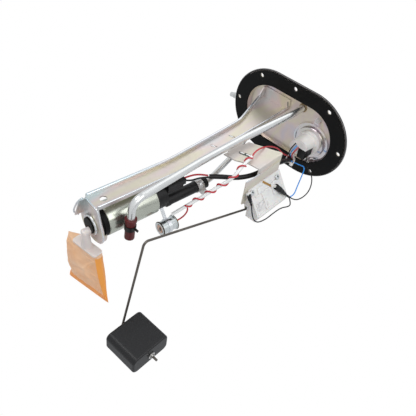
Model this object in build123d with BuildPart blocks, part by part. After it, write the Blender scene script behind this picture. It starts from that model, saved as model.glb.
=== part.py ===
from build123d import *
import math
import os

os.makedirs("parts", exist_ok=True)

# Axes: X along the flange, Y away from the open side of the channel, Z up out of the tank.
# Zero is the middle of the bolt pattern on the sealing face. Millimetres.

# Flange, gasket and bolt holes
sheet = 1.6
plate_half = 30.0
plate_r = 63.3
gasket_t = 3.0
gasket_r = 61.0
opening_half = 29.0
opening_r = 42.0
recess_r = opening_r - 0.3
recess_h = 4.0
recess_draft = 12.0
bolt_curve_r = 55.0
bolt_angle = 63.0
bolt_hole_r = 3.25
bolt_x = plate_half + bolt_curve_r * math.cos(math.radians(bolt_angle))
bolt_y = bolt_curve_r * math.sin(math.radians(bolt_angle))
bolt_end_x = plate_half + bolt_curve_r
bolt_spots = [
    (bolt_x, bolt_y), (bolt_x, -bolt_y), (-bolt_x, bolt_y), (-bolt_x, -bolt_y),
    (bolt_end_x, 0), (-bolt_end_x, 0), (0, bolt_curve_r), (0, -bolt_curve_r),
]

# Channel bracket and its lower leg, which leans
frame_t = 1.5
web_back = -16.0
web_face = web_back - frame_t
lip_edge = web_face - 5.0
fold_left = -29.3
fold_right = -5.1
knee_z = -203.7
lean = 7.218
channel_end = -313.6
flare_x = -49.4
flare_top = -3.0
flare_low = -72.0
tab_edge = -33.6
fold_r = 2.2

# Pump, on the leaning leg
pump_x = -18.5
pump_y = 13.5
shell_r = 19.0
shell_t = 1.2
shell_low = -302.0
shell_top = -236.0
cap_r = shell_r - 2.0
cap_top = -222.0
cushion_low = channel_end + frame_t
chamber_r = shell_r - 3.4
magnet_r = shell_r - 4.8
inlet_boss_r = 9.3
inlet_boss_end = -318.0
nozzle_x = -16.5
nozzle_y = 18.8
nozzle_tip = -321.5
inlet_r = 2.9
collar_r = inlet_boss_r + 2.1
collar_h = 2.6
end_plate_r = 23.0
port_x = -9.5
port_y = 20.0
shaft_r = 2.0
bearing_gap = 0.03
running_gap = 0.4

# Tubes
return_r = 4.5
return_wall = 0.8
outlet_r = 3.6
outlet_wall = 0.7
return_x = 15.0
return_y = -32.0
outlet_x = -25.0
outlet_y = -2.0
outlet_end = (-112.0, 17.0)
outside_z = 15.0
return_out_z = 16.5

# Connector
socket_x = 40.5
socket_y = 7.5
socket_r = 16.5
retainer_r = 26.8
dome_r = 21.2
ears = [(42.5, -27.0), (40.0, 34.8)]
ear_hole_r = 2.1
plug_spot = (44.6, 14.0)
plug_size = (11.0, 15.0)
plug_gap = 0.12

# Sender bracket, sender and float
side_x = 47.0
plate_t = 1.2
slope_x = 48.5
slope_y = 7.5
slope_len = 37.7
sender_low = -141.5
sender_high = -79.0
arm_r = 1.3
arm_x = 50.0
pivot_y = 42.0
pivot_z = -131.0
float_y = 91.3
float_z = -338.0
float_left = 52.0
float_w = 44.0
float_t = 24.0
float_h = 49.0

cos_l = math.cos(math.radians(lean))
sin_l = math.sin(math.radians(lean))


def lower(x, h):
    """World X and Z of a place on the leaning leg."""
    return (x * cos_l + (h - knee_z) * sin_l, knee_z - x * sin_l + (h - knee_z) * cos_l)


def leg(x, y, h):
    """World place of a point on the leaning leg."""
    place = lower(x, h)
    return (place[0], y, place[1])


def level(h):
    """Plane across the leaning leg at height h."""
    place = lower(0, h)
    return Plane(origin=(place[0], 0, place[1]), x_dir=(cos_l, 0, -sin_l), z_dir=(sin_l, 0, cos_l))


def across(x, y, h):
    """Plane that faces along Y at a place of the leaning leg; its own y runs down the leg."""
    return Plane(origin=leg(x, y, h), x_dir=(cos_l, 0, -sin_l), z_dir=(0, 1, 0))


def bends(name, points, tightest):
    """Radius at each corner of a route, from the shorter of its two runs."""
    found = []
    for before, corner, after in zip(points[:-2], points[1:-1], points[2:]):
        one = Vector(*corner) - Vector(*before)
        two = Vector(*after) - Vector(*corner)
        turn = math.radians(one.get_angle(two))
        found.append(round(0.45 * min(one.length, two.length) / math.tan(turn / 2), 2))
    print(name, "radii", found, "tightest", min(found), "wanted", tightest)
    return found


# Flange plate: flat rim, middle pressed outwards
with BuildPart() as flange_plate:
    with BuildSketch(Plane.XY):
        SlotCenterToCenter(2 * plate_half, 2 * plate_r)
    extrude(amount=sheet)
    with BuildSketch(Plane.XY):
        SlotCenterToCenter(2 * opening_half, 2 * (recess_r + sheet))
    extrude(amount=recess_h + sheet, taper=recess_draft)
    with BuildSketch(Plane.XY):
        SlotCenterToCenter(2 * opening_half, 2 * recess_r)
    extrude(amount=recess_h, taper=recess_draft, mode=Mode.SUBTRACT)
    with BuildSketch(Plane.XY):
        with Locations(*bolt_spots):
            Circle(bolt_hole_r)
    extrude(amount=sheet, mode=Mode.SUBTRACT)
    with BuildSketch(Plane.XY.offset(recess_h)):
        with Locations((return_x, return_y)):
            Circle(return_r)
        with Locations((outlet_x, outlet_y)):
            Circle(outlet_r)
        with Locations((socket_x, socket_y)):
            Circle(socket_r + 1.7)
        with Locations(*ears):
            Circle(ear_hole_r)
    extrude(amount=sheet, mode=Mode.SUBTRACT)
flange_plate.part.label = "flange_plate"
export_step(flange_plate.part, "parts/flange_plate.step")

# Gasket
with BuildPart() as flange_gasket:
    with BuildSketch(Plane.XY.offset(-gasket_t)):
        SlotCenterToCenter(2 * plate_half, 2 * gasket_r)
        SlotCenterToCenter(2 * opening_half, 2 * opening_r, mode=Mode.SUBTRACT)
        with Locations(*bolt_spots):
            Circle(bolt_hole_r, mode=Mode.SUBTRACT)
    extrude(amount=gasket_t)
flange_gasket.part.label = "flange_gasket"
export_step(flange_gasket.part, "parts/flange_gasket.step")


def knee(x):
    """Where the upper and the leaning edge at x meet."""
    return lower(x, knee_z + x * math.tan(math.radians(lean / 2)))


def web_outline(inset, extra):
    """Front outline of the channel; inset narrows it, extra lengthens it at both ends."""
    left = fold_left + inset
    right = fold_right - inset
    top = recess_h + extra
    return [
        (right, top), knee(right), lower(right, channel_end - extra), lower(left, channel_end - extra),
        knee(left), (left, flare_low), (flare_x + inset, flare_top), (flare_x + inset, top),
    ]


# Channel bracket: web with two lips, tab at the flange, round end plate
with BuildPart() as channel_bracket:
    with BuildSketch(Plane.XZ.offset(-web_back)):
        Polygon(*web_outline(0, 0), align=None)
    extrude(amount=web_back - lip_edge)
    with BuildSketch(Plane.XZ.offset(-web_face)):
        Polygon(*web_outline(frame_t, 1), align=None)
    extrude(amount=8, mode=Mode.SUBTRACT)
    folds = channel_bracket.edges().filter_by(lambda e: abs(e.center().Y - web_back) < 0.01 and e.length > 60)
    fillet(folds, fold_r)
    with BuildSketch(Plane.XY.offset(recess_h - frame_t)):
        with Locations(((flare_x + fold_right) / 2, (web_face + tab_edge) / 2)):
            Rectangle(fold_right - flare_x, web_face - tab_edge)
    extrude(amount=frame_t)
    with BuildSketch(Plane.YZ.offset(flare_x)):
        Polygon((web_back, recess_h), (tab_edge, recess_h), (tab_edge, 0), (lip_edge, -9), (web_back, -9), align=None)
    extrude(amount=frame_t)
    with BuildSketch(level(channel_end)):
        with Locations((pump_x, pump_y)):
            Circle(end_plate_r)
        Polygon(
            (fold_left, web_face), (fold_right, web_face), (pump_x + end_plate_r, pump_y),
            (pump_x - end_plate_r, pump_y), align=None,
        )
    extrude(amount=frame_t)
    with BuildSketch(level(channel_end)):
        with Locations((pump_x, pump_y)):
            Circle(end_plate_r)
            Circle(end_plate_r - frame_t, mode=Mode.SUBTRACT)
            Rectangle(60, 60, align=(Align.MAX, Align.CENTER), mode=Mode.SUBTRACT)
            Rectangle(60, 60, align=(Align.CENTER, Align.MAX), mode=Mode.SUBTRACT)
    extrude(amount=5)
    with BuildSketch(level(channel_end)):
        with Locations((pump_x, pump_y)):
            Circle(collar_r)
    extrude(amount=-collar_h)
    with BuildSketch(level(channel_end)):
        Polygon((-41.0, pump_y), (fold_left, web_face), (fold_left + frame_t, web_face), (-39.4, pump_y), align=None)
    extrude(amount=-8)
    with BuildSketch(level(channel_end)):
        with Locations((pump_x, pump_y)):
            Circle(inlet_boss_r + 0.5)
    extrude(amount=2 * (frame_t + collar_h), both=True, mode=Mode.SUBTRACT)
    with BuildSketch(Plane.XZ.offset(-web_back)):
        with Locations((-16.0, -136.5), (-15.0, -104.0)):
            SlotOverall(9.0, 2.4, rotation=20)
        with Locations(lower(-17.7, -298.9)):
            Circle(4.2)
    extrude(amount=frame_t, mode=Mode.SUBTRACT)
channel_bracket.part.label = "channel_bracket"
export_step(channel_bracket.part, "parts/channel_bracket.step")

# Sender bracket: flat top with a tongue under the web, and a folded side
with BuildPart() as sender_bracket:
    with BuildSketch(Plane.XZ.offset(-web_back - frame_t)):
        Polygon(
            (0.9, -137), (1.7, -128), (-20, -128), (-20, -104), (4.0, -104), (5, -94), (37, -81), (44, -77.5),
            (side_x, -78.5), (side_x, -125), (32, -127), (17, -135), align=None,
        )
    extrude(amount=frame_t)
    with BuildSketch(Plane.YZ.offset(side_x - frame_t)):
        Polygon((web_back, -78.5), (web_back, -125), (5, -125), (5, -80), align=None)
    extrude(amount=frame_t)
    corner = sender_bracket.edges().filter_by(Axis.Z).filter_by(
        lambda e: abs(e.center().X - side_x) < 0.01 and abs(e.center().Y - web_back) < 0.01
    )
    fillet(corner, 1.4)
    with BuildSketch(Plane.XZ.offset(-web_back)):
        with Locations(Location((14.2, -118.0, 0), 18), Location((22.8, -115.2, 0), 18)):
            SlotOverall(6.4, 2.0)
    extrude(amount=1.2)
sender_bracket.part.label = "sender_bracket"
export_step(sender_bracket.part, "parts/sender_bracket.step")

# Return tube: along the channel lip, through the flange, away to the side
return_route = [
    (-78, return_y, return_out_z), (return_x, return_y, return_out_z), (return_x, return_y, -22), (3.5, -26, -100),
    (0, -25.5, -180), (0, -25.5, -282), (0, 8, -284),
]
return_bends = [10.5, 60.0, 150.0, 150.0, 14.0]
with BuildPart() as return_tube:
    with BuildLine() as return_line:
        FilletPolyline(*return_route, radius=return_bends)
    with BuildSketch(Plane(origin=return_line.line @ 0, z_dir=return_line.line % 0)):
        Circle(return_r)
        Circle(return_r - return_wall, mode=Mode.SUBTRACT)
    sweep()
return_tube.part.label = "return_tube"
export_step(return_tube.part, "parts/return_tube.step")

# Outlet tube: from inside the outlet hose, through the flange, to the barb outside
hose_top = -160.0
tube_start = leg(port_x, port_y, hose_top - 20)
tube_out = leg(port_x, port_y, hose_top + 6)
outlet_route = [
    tube_start, tube_out, (-14, 17, -95), (outlet_x, outlet_y, -38), (outlet_x, outlet_y, outside_z),
    (*outlet_end, outside_z),
]
outlet_bends = [60.0, 50.0, 50.0, 9.0]
outlet_tip = Vector(*outlet_end, outside_z)
outlet_dir = (outlet_tip - Vector(outlet_x, outlet_y, outside_z)).normalized()
with BuildPart() as outlet_tube:
    with BuildLine() as outlet_line:
        FilletPolyline(*outlet_route, radius=outlet_bends)
    with BuildSketch(Plane(origin=outlet_line.line @ 0, z_dir=outlet_line.line % 0)):
        Circle(outlet_r)
        Circle(outlet_r - outlet_wall, mode=Mode.SUBTRACT)
    sweep()
    for barb in (20.0, 14.0, 8.0):
        with BuildSketch(Plane(origin=outlet_tip - outlet_dir * barb, z_dir=outlet_dir)):
            Circle(outlet_r + 1.0)
            Circle(outlet_r - 0.2, mode=Mode.SUBTRACT)
        extrude(amount=3.5, taper=13)
outlet_tube.part.label = "outlet_tube"
export_step(outlet_tube.part, "parts/outlet_tube.step")

# Braze rings where the tubes pass the flange
with BuildPart() as braze_rings:
    with BuildSketch(Plane.XY.offset(recess_h)):
        with Locations((return_x, return_y)):
            Circle(return_r + 1.8)
            Circle(return_r, mode=Mode.SUBTRACT)
        with Locations((outlet_x, outlet_y)):
            Circle(outlet_r + 1.6)
            Circle(outlet_r, mode=Mode.SUBTRACT)
    extrude(amount=-1.4, taper=25)
braze_rings.part.label = "braze_rings"
export_step(braze_rings.part, "parts/braze_rings.step")

# Return hose on the end of the return tube, its collar side up
return_end = Vector(0, 8, -284)
return_dir = Vector(0, 33.5, -2)
hose_start = return_end - return_dir.normalized() * 10
return_hose_r = 5.7
with BuildPart() as return_hose:
    with BuildSketch(Plane(origin=hose_start, z_dir=return_dir)):
        Circle(6.8)
        Circle(return_r + 0.1, mode=Mode.SUBTRACT)
    extrude(amount=3.4)
    with BuildSketch(Plane(origin=hose_start, z_dir=return_dir)):
        Circle(return_hose_r)
        Circle(return_r + 0.1, mode=Mode.SUBTRACT)
    extrude(amount=28)
return_hose.part.label = "return_hose"
export_step(return_hose.part, "parts/return_hose.step")

clamp_spot = return_end - return_dir.normalized() * 1
with BuildPart() as return_hose_clamp:
    with BuildSketch(Plane(origin=clamp_spot, x_dir=(1, 0, 0), z_dir=return_dir)):
        Circle(return_hose_r + 0.9)
        Circle(return_hose_r + 0.05, mode=Mode.SUBTRACT)
    extrude(amount=6)
    with BuildSketch(Plane(origin=clamp_spot, x_dir=(1, 0, 0), z_dir=return_dir)):
        with Locations((return_hose_r + 3.4, 0)):
            Rectangle(6.0, 1.6)
    extrude(amount=2.4)
return_hose_clamp.part.label = "return_hose_clamp"
export_step(return_hose_clamp.part, "parts/return_hose_clamp.step")

# Pump shell with rolled rims
with BuildPart() as pump_shell:
    with BuildSketch(level(shell_low)):
        with Locations((pump_x, pump_y)):
            Circle(shell_r)
    extrude(amount=shell_top - shell_low)
    fillet(pump_shell.edges().filter_by(GeomType.CIRCLE), 1.6)
    with BuildSketch(level(shell_low + shell_t)):
        with Locations((pump_x, pump_y)):
            Circle(shell_r - shell_t)
    extrude(amount=shell_top - shell_low - 2 * shell_t, mode=Mode.SUBTRACT)
    with BuildSketch(level(shell_low)):
        with Locations((pump_x, pump_y)):
            Circle(cap_r - 0.6)
    extrude(amount=shell_top - shell_low, mode=Mode.SUBTRACT)
pump_shell.part.label = "pump_shell"
export_step(pump_shell.part, "parts/pump_shell.step")

# Rubber cushion ring
with BuildPart() as pump_cushion:
    with BuildSketch(level(cushion_low)):
        with Locations((pump_x, pump_y)):
            Circle(shell_r - 0.4)
            Circle(shell_r - 7.0, mode=Mode.SUBTRACT)
    extrude(amount=shell_low - cushion_low)
    with BuildSketch(level(cushion_low + 3.2)):
        with Locations((pump_x, pump_y)):
            Circle(shell_r)
            Circle(shell_r - 1.6, mode=Mode.SUBTRACT)
    extrude(amount=1.6, mode=Mode.SUBTRACT)
pump_cushion.part.label = "pump_cushion"
export_step(pump_cushion.part, "parts/pump_cushion.step")

# Inlet end of the pump with its nozzle
inlet_face = shell_low + shell_t + 0.1
with BuildPart() as pump_inlet_cap:
    with BuildSketch(level(inlet_face)):
        with Locations((pump_x, pump_y)):
            Circle(shell_r - shell_t - 0.1)
    extrude(amount=8)
    with BuildSketch(level(inlet_face)):
        with Locations((pump_x, pump_y)):
            Circle(inlet_boss_r)
    extrude(amount=inlet_boss_end - inlet_face)
    with BuildSketch(level(inlet_boss_end)):
        with Locations((nozzle_x, nozzle_y)):
            Circle(inlet_r)
    extrude(amount=nozzle_tip - inlet_boss_end)
    with BuildSketch(level(nozzle_tip)):
        with Locations((nozzle_x, nozzle_y)):
            Circle(inlet_r - 1.0)
    extrude(amount=inlet_face + 6 - nozzle_tip, mode=Mode.SUBTRACT)
    with BuildSketch(level(inlet_face + 0.8)):
        with Locations((pump_x, pump_y)):
            Circle(shaft_r + bearing_gap)
    extrude(amount=5, mode=Mode.SUBTRACT)
    with BuildSketch(level(inlet_face + 5)):
        with Locations((pump_x, pump_y)):
            Circle(chamber_r)
    extrude(amount=4, mode=Mode.SUBTRACT)
pump_inlet_cap.part.label = "pump_inlet_cap"
export_step(pump_inlet_cap.part, "parts/pump_inlet_cap.step")

# Outlet end: round cover, raised block and outlet nozzle
valve_seat = cap_top + 4
valve_stop = valve_seat + 12.5
nozzle_top = cap_top + 24
nozzle_r = 4.6
with BuildPart() as pump_end_cap:
    with BuildSketch(level(shell_top - shell_t - 4)):
        with Locations((pump_x, pump_y)):
            Circle(shell_r - shell_t - 0.1)
    extrude(amount=3.9)
    with BuildSketch(level(shell_top - shell_t - 0.2)):
        with Locations((pump_x, pump_y)):
            Circle(cap_r - 0.7)
    extrude(amount=cap_top - shell_top + shell_t + 0.2)
    with BuildSketch(level(shell_top + 0.5)):
        with Locations((pump_x, pump_y)):
            Circle(cap_r)
    extrude(amount=cap_top - shell_top - 0.5)
    with BuildSketch(level(cap_top)):
        with Locations((port_x, port_y)):
            Circle(7.6)
    extrude(amount=5)
    with BuildSketch(level(cap_top)):
        with Locations((port_x, port_y)):
            Circle(nozzle_r)
    extrude(amount=nozzle_top - cap_top)
    with BuildSketch(level(cap_top)):
        with Locations((-24.0, 20.0)):
            RectangleRounded(12, 14, 2)
    extrude(amount=5)
    with BuildSketch(level(shell_top - shell_t - 4)):
        with Locations((pump_x, pump_y)):
            Circle(shell_r - 3.5)
    extrude(amount=12, mode=Mode.SUBTRACT)
    with BuildSketch(level(cap_top - 8)):
        with Locations((port_x, port_y)):
            Circle(1.6)
    extrude(amount=30, mode=Mode.SUBTRACT)
    with BuildSketch(level(valve_seat)):
        with Locations((port_x, port_y)):
            Circle(3.2)
    extrude(amount=valve_stop - valve_seat, mode=Mode.SUBTRACT)
    with BuildSketch(level(valve_stop)):
        with Locations((port_x, port_y)):
            Circle(2.1)
    extrude(amount=30, mode=Mode.SUBTRACT)
pump_end_cap.part.label = "pump_end_cap"
export_step(pump_end_cap.part, "parts/pump_end_cap.step")

# Plug on the pump, where the two leads leave
plug_x = -10.5
plug_y = -0.5
with BuildPart() as pump_plug:
    with BuildSketch(level(cap_top)):
        with Locations((plug_x, plug_y)):
            RectangleRounded(12.5, 11.5, 1.5)
    extrude(amount=22)
    with BuildSketch(level(cap_top + 22)):
        with Locations((plug_x, plug_y)):
            RectangleRounded(9.5, 8.0, 1.2)
    extrude(amount=5)
pump_plug.part.label = "pump_plug"
export_step(pump_plug.part, "parts/pump_plug.step")

# Outlet hose and its clamp
hose_low = cap_top + 5.2
hose_r = 7.0
with BuildPart() as outlet_hose:
    with BuildSketch(level(hose_low)):
        with Locations((port_x, port_y)):
            Circle(hose_r)
    extrude(amount=hose_top - hose_low)
    with BuildSketch(level(hose_low)):
        with Locations((port_x, port_y)):
            Circle(nozzle_r + 0.1)
    extrude(amount=nozzle_top - hose_low + 1, mode=Mode.SUBTRACT)
    with BuildSketch(level(hose_low)):
        with Locations((port_x, port_y)):
            Circle(outlet_r + 0.1)
    extrude(amount=hose_top - hose_low, mode=Mode.SUBTRACT)
outlet_hose.part.label = "outlet_hose"
export_step(outlet_hose.part, "parts/outlet_hose.step")

with BuildPart() as outlet_hose_clamp:
    with BuildSketch(level(-176)):
        with Locations((port_x, port_y)):
            Circle(hose_r + 1.0)
            Circle(hose_r + 0.1, mode=Mode.SUBTRACT)
    extrude(amount=9)
    with BuildSketch(level(-174.5)):
        with Locations((port_x + hose_r + 3.2, port_y + 1)):
            Rectangle(5.2, 6.4)
    extrude(amount=6)
outlet_hose_clamp.part.label = "outlet_hose_clamp"
export_step(outlet_hose_clamp.part, "parts/outlet_hose_clamp.step")

# Check valve in the outlet nozzle: poppet, and the spring above it
with BuildPart() as check_valve:
    with BuildSketch(level(valve_seat)):
        with Locations((port_x, port_y)):
            Circle(2.7)
    extrude(amount=2.4)
    with BuildSketch(level(valve_seat + 2.4)):
        with Locations((port_x, port_y)):
            Circle(1.2)
    extrude(amount=4.2)
check_valve.part.label = "check_valve"
export_step(check_valve.part, "parts/check_valve.step")

with BuildPart() as valve_spring:
    with BuildLine() as coil:
        Helix(pitch=2.0, height=9.3, radius=2.2)
    with BuildSketch(Plane(origin=coil.line @ 0, z_dir=coil.line % 0)):
        Circle(0.25)
    sweep(is_frenet=True)
valve_spring_part = valve_spring.part.moved(level(valve_seat + 2.8).location * Location((port_x, port_y, 0)))
valve_spring_part.label = "valve_spring"
export_step(valve_spring_part, "parts/valve_spring.step")

# Armature on its shaft, impeller below it
stack_low = -286.0
stack_high = -258.0
with BuildPart() as armature:
    with BuildSketch(level(stack_low)):
        with Locations((pump_x, pump_y)):
            Circle(magnet_r - 0.6)
            Circle(shaft_r, mode=Mode.SUBTRACT)
            with PolarLocations(magnet_r - 1.2, 8):
                Rectangle(3.0, 2.0, mode=Mode.SUBTRACT)
    extrude(amount=stack_high - stack_low)
    with BuildSketch(level(stack_high)):
        with Locations((pump_x, pump_y)):
            Circle(10.5)
            Circle(shaft_r, mode=Mode.SUBTRACT)
    extrude(amount=3.5)
    with BuildSketch(level(stack_high + 3.5)):
        with Locations((pump_x, pump_y)):
            Circle(6.5)
            Circle(shaft_r, mode=Mode.SUBTRACT)
    extrude(amount=8)
armature.part.label = "armature"
export_step(armature.part, "parts/armature.step")

shaft_low = inlet_face + 1.0
shaft_high = shell_top + 6
with BuildPart() as rotor_shaft:
    with BuildSketch(level(shaft_low)):
        with Locations((pump_x, pump_y)):
            Circle(shaft_r)
    extrude(amount=shaft_high - shaft_low)
rotor_shaft.part.label = "rotor_shaft"
export_step(rotor_shaft.part, "parts/rotor_shaft.step")

impeller_low = inlet_face + 5 + running_gap
with BuildPart() as impeller:
    with BuildSketch(level(impeller_low)):
        with Locations((pump_x, pump_y)):
            Circle(chamber_r - 0.5)
            Circle(shaft_r, mode=Mode.SUBTRACT)
            with PolarLocations(chamber_r - 0.6, 18):
                Rectangle(3.0, 1.4, mode=Mode.SUBTRACT)
    extrude(amount=2.4)
impeller.part.label = "impeller"
export_step(impeller.part, "parts/impeller.step")

# Magnets, brushes and bearings
with BuildPart() as pump_magnets:
    with BuildSketch(level(stack_low + 1)):
        with Locations((pump_x, pump_y)):
            Circle(shell_r - shell_t - 0.05)
            Circle(magnet_r, mode=Mode.SUBTRACT)
            Rectangle(2 * shell_r + 2, 8, mode=Mode.SUBTRACT)
    extrude(amount=stack_high - stack_low - 2)
pump_magnets.part.label = "pump_magnets"
export_step(pump_magnets.part, "parts/pump_magnets.step")

commutator_low = stack_high + 3.5
with BuildPart() as pump_bearings:
    with BuildSketch(level(shell_top)):
        with Locations((pump_x, pump_y)):
            Circle(shell_r - 3.6)
            Circle(shaft_r + bearing_gap, mode=Mode.SUBTRACT)
    extrude(amount=5)
    with BuildSketch(level(inlet_face + 8)):
        with Locations((pump_x, pump_y)):
            Circle(shell_r - shell_t - 0.1)
            Circle(shaft_r + bearing_gap, mode=Mode.SUBTRACT)
    extrude(amount=3)
pump_bearings.part.label = "pump_bearings"
export_step(pump_bearings.part, "parts/pump_bearings.step")

with BuildPart() as pump_brushes:
    with BuildSketch(level(commutator_low + 1.5)):
        with Locations((pump_x, pump_y + 9.5), (pump_x, pump_y - 9.5)):
            Rectangle(4.6, 5.8)
    extrude(amount=5)
    with BuildSketch(level(commutator_low + 6.5)):
        with Locations((pump_x, pump_y + 10.5), (pump_x, pump_y - 10.5)):
            Rectangle(3.0, 3.0)
    extrude(amount=shell_top - commutator_low - 6.5)
pump_brushes.part.label = "pump_brushes"
export_step(pump_brushes.part, "parts/pump_brushes.step")

# Strainer: elbow with the top plate, and the fabric pouch
elbow_top = inlet_boss_end - 0.15
elbow_h = -323.2
elbow_low = -327.4
elbow_r = 4.3
neck_end = 46.0
plate_x = -20.1
plate_h = -319.7
plate_turn = -11
with BuildPart() as strainer_neck:
    with BuildSketch(level(elbow_top)):
        with Locations((nozzle_x, nozzle_y)):
            Circle(elbow_r)
    extrude(amount=elbow_low - elbow_top)
    fillet(strainer_neck.faces().sort_by(Axis.Z)[0].edges(), 2.4)
    with BuildSketch(across(nozzle_x, nozzle_y, elbow_h)):
        Circle(elbow_r - 0.1)
    with BuildSketch(across(plate_x, neck_end + 0.5, plate_h - 0.6)):
        Circle(6.0)
    loft()
    with BuildSketch(across(plate_x, neck_end, plate_h)):
        RectangleRounded(37.0, 13.0, 3, rotation=plate_turn)
    extrude(amount=2.2)
    with BuildSketch(level(elbow_top)):
        with Locations((nozzle_x, nozzle_y)):
            Circle(inlet_r + 0.1)
    extrude(amount=nozzle_tip - 1.5 - elbow_top, mode=Mode.SUBTRACT)
    with BuildSketch(across(nozzle_x, nozzle_y, elbow_h)):
        Circle(elbow_r - 1.5)
    with BuildSketch(across(plate_x, neck_end + 2.2, plate_h - 0.6)):
        Circle(4.4)
    loft(mode=Mode.SUBTRACT)
strainer_neck.part.label = "strainer_neck"
export_step(strainer_neck.part, "parts/strainer_neck.step")

sock_top = neck_end + 2.2
sock_bottom = 121.0
sock_mid = -27.6
sock_wide = 52.0
sock_deep = 14.0
seam_mid = -17.7
seam_h = -322.4
seam_wide = 64.4
seam_t = 1.8
seam_turn = -14.3
with BuildPart() as strainer_sock:
    with BuildSketch(across(sock_mid, sock_top, plate_h)):
        RectangleRounded(sock_wide, sock_deep, 3, rotation=plate_turn)
    with BuildSketch(across(seam_mid, sock_bottom, seam_h)):
        RectangleRounded(seam_wide, seam_t, 0.6, rotation=seam_turn)
    loft(ruled=True)
strainer_sock.part.label = "strainer_sock"
export_step(strainer_sock.part, "parts/strainer_sock.step")

# Low-level sensor: can, end cap, terminal, thermistor bead, bracket
can_x = 5.0
can_y = 45.5
can_low = -238.0
can_high = -218.0
can_r = 8.0
with BuildPart() as sensor_can:
    with BuildSketch(level(can_low)):
        with Locations((can_x, can_y)):
            Circle(can_r)
    extrude(amount=can_high - can_low)
    with BuildSketch(level(can_low)):
        with Locations((can_x, can_y)):
            Circle(can_r + 0.7)
    extrude(amount=1.8)
    fillet(sensor_can.faces().sort_by(Axis.Z)[0].edges(), 0.8)
    with BuildSketch(level(can_low + 1)):
        with Locations((can_x, can_y)):
            Circle(can_r - 1)
    extrude(amount=can_high - can_low, mode=Mode.SUBTRACT)
    with BuildSketch(level(can_low)):
        with Locations((can_x, can_y)):
            Circle(3.4)
            with PolarLocations(5.4, 3):
                SlotOverall(3.6, 1.4, rotation=90)
    extrude(amount=1, mode=Mode.SUBTRACT)
sensor_can.part.label = "sensor_can"
export_step(sensor_can.part, "parts/sensor_can.step")

with BuildPart() as sensor_cap:
    with BuildSketch(level(can_high)):
        with Locations((can_x, can_y)):
            Circle(can_r + 1.0)
    extrude(amount=1.6)
    with BuildSketch(level(can_high - 2)):
        with Locations((can_x, can_y)):
            Circle(can_r - 1.1)
    extrude(amount=2)
    with BuildSketch(level(can_high - 2)):
        with Locations((can_x, can_y)):
            Circle(2.0)
    extrude(amount=5, mode=Mode.SUBTRACT)
sensor_cap.part.label = "sensor_cap"
export_step(sensor_cap.part, "parts/sensor_cap.step")

with BuildPart() as sensor_terminal:
    with BuildSketch(level(can_high - 6)):
        with Locations((can_x, can_y)):
            Circle(1.9)
    extrude(amount=12)
sensor_terminal.part.label = "sensor_terminal"
export_step(sensor_terminal.part, "parts/sensor_terminal.step")

with BuildPart() as thermistor_bead:
    with BuildSketch(level(can_low + 6)):
        with Locations((can_x, can_y)):
            Circle(3.2)
    extrude(amount=can_high - can_low - 12)
thermistor_bead.part.label = "thermistor_bead"
export_step(thermistor_bead.part, "parts/thermistor_bead.step")

bar_turn = math.degrees(math.atan2(can_y - pump_y, can_x - pump_x))
bar_from = cap_r + 0.05
bar_to = math.hypot(can_x - pump_x, can_y - pump_y) - can_r - 0.6
bar_mid = (bar_from + bar_to) / 2
bar_x = pump_x + bar_mid * math.cos(math.radians(bar_turn))
bar_y = pump_y + bar_mid * math.sin(math.radians(bar_turn))
with BuildPart() as sensor_bracket:
    with BuildSketch(level(-229)):
        with Locations((can_x, can_y)):
            Circle(can_r + 0.9)
            Circle(can_r + 0.05, mode=Mode.SUBTRACT)
    extrude(amount=4)
    with BuildSketch(level(-229)):
        with Locations(Location((bar_x, bar_y, 0), bar_turn)):
            Rectangle(bar_to - bar_from, 1.6)
    extrude(amount=4)
sensor_bracket.part.label = "sensor_bracket"
export_step(sensor_bracket.part, "parts/sensor_bracket.step")

# Sender: back plate, housing, resistor card, wiper, bush
with BuildPart() as sender_plate:
    with BuildSketch(Plane.YZ.offset(side_x)):
        Polygon(
            (-9, -149), (-7.6, -133), (-7.6, -82), (38, -80), (46, -88), (48, -126), (44, -137), (28.8, -142),
            (26, -149), align=None,
        )
        with Locations((pivot_y, pivot_z)):
            Circle(1.6, mode=Mode.SUBTRACT)
    extrude(amount=plate_t)
sender_plate.part.label = "sender_plate"
export_step(sender_plate.part, "parts/sender_plate.step")

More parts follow.
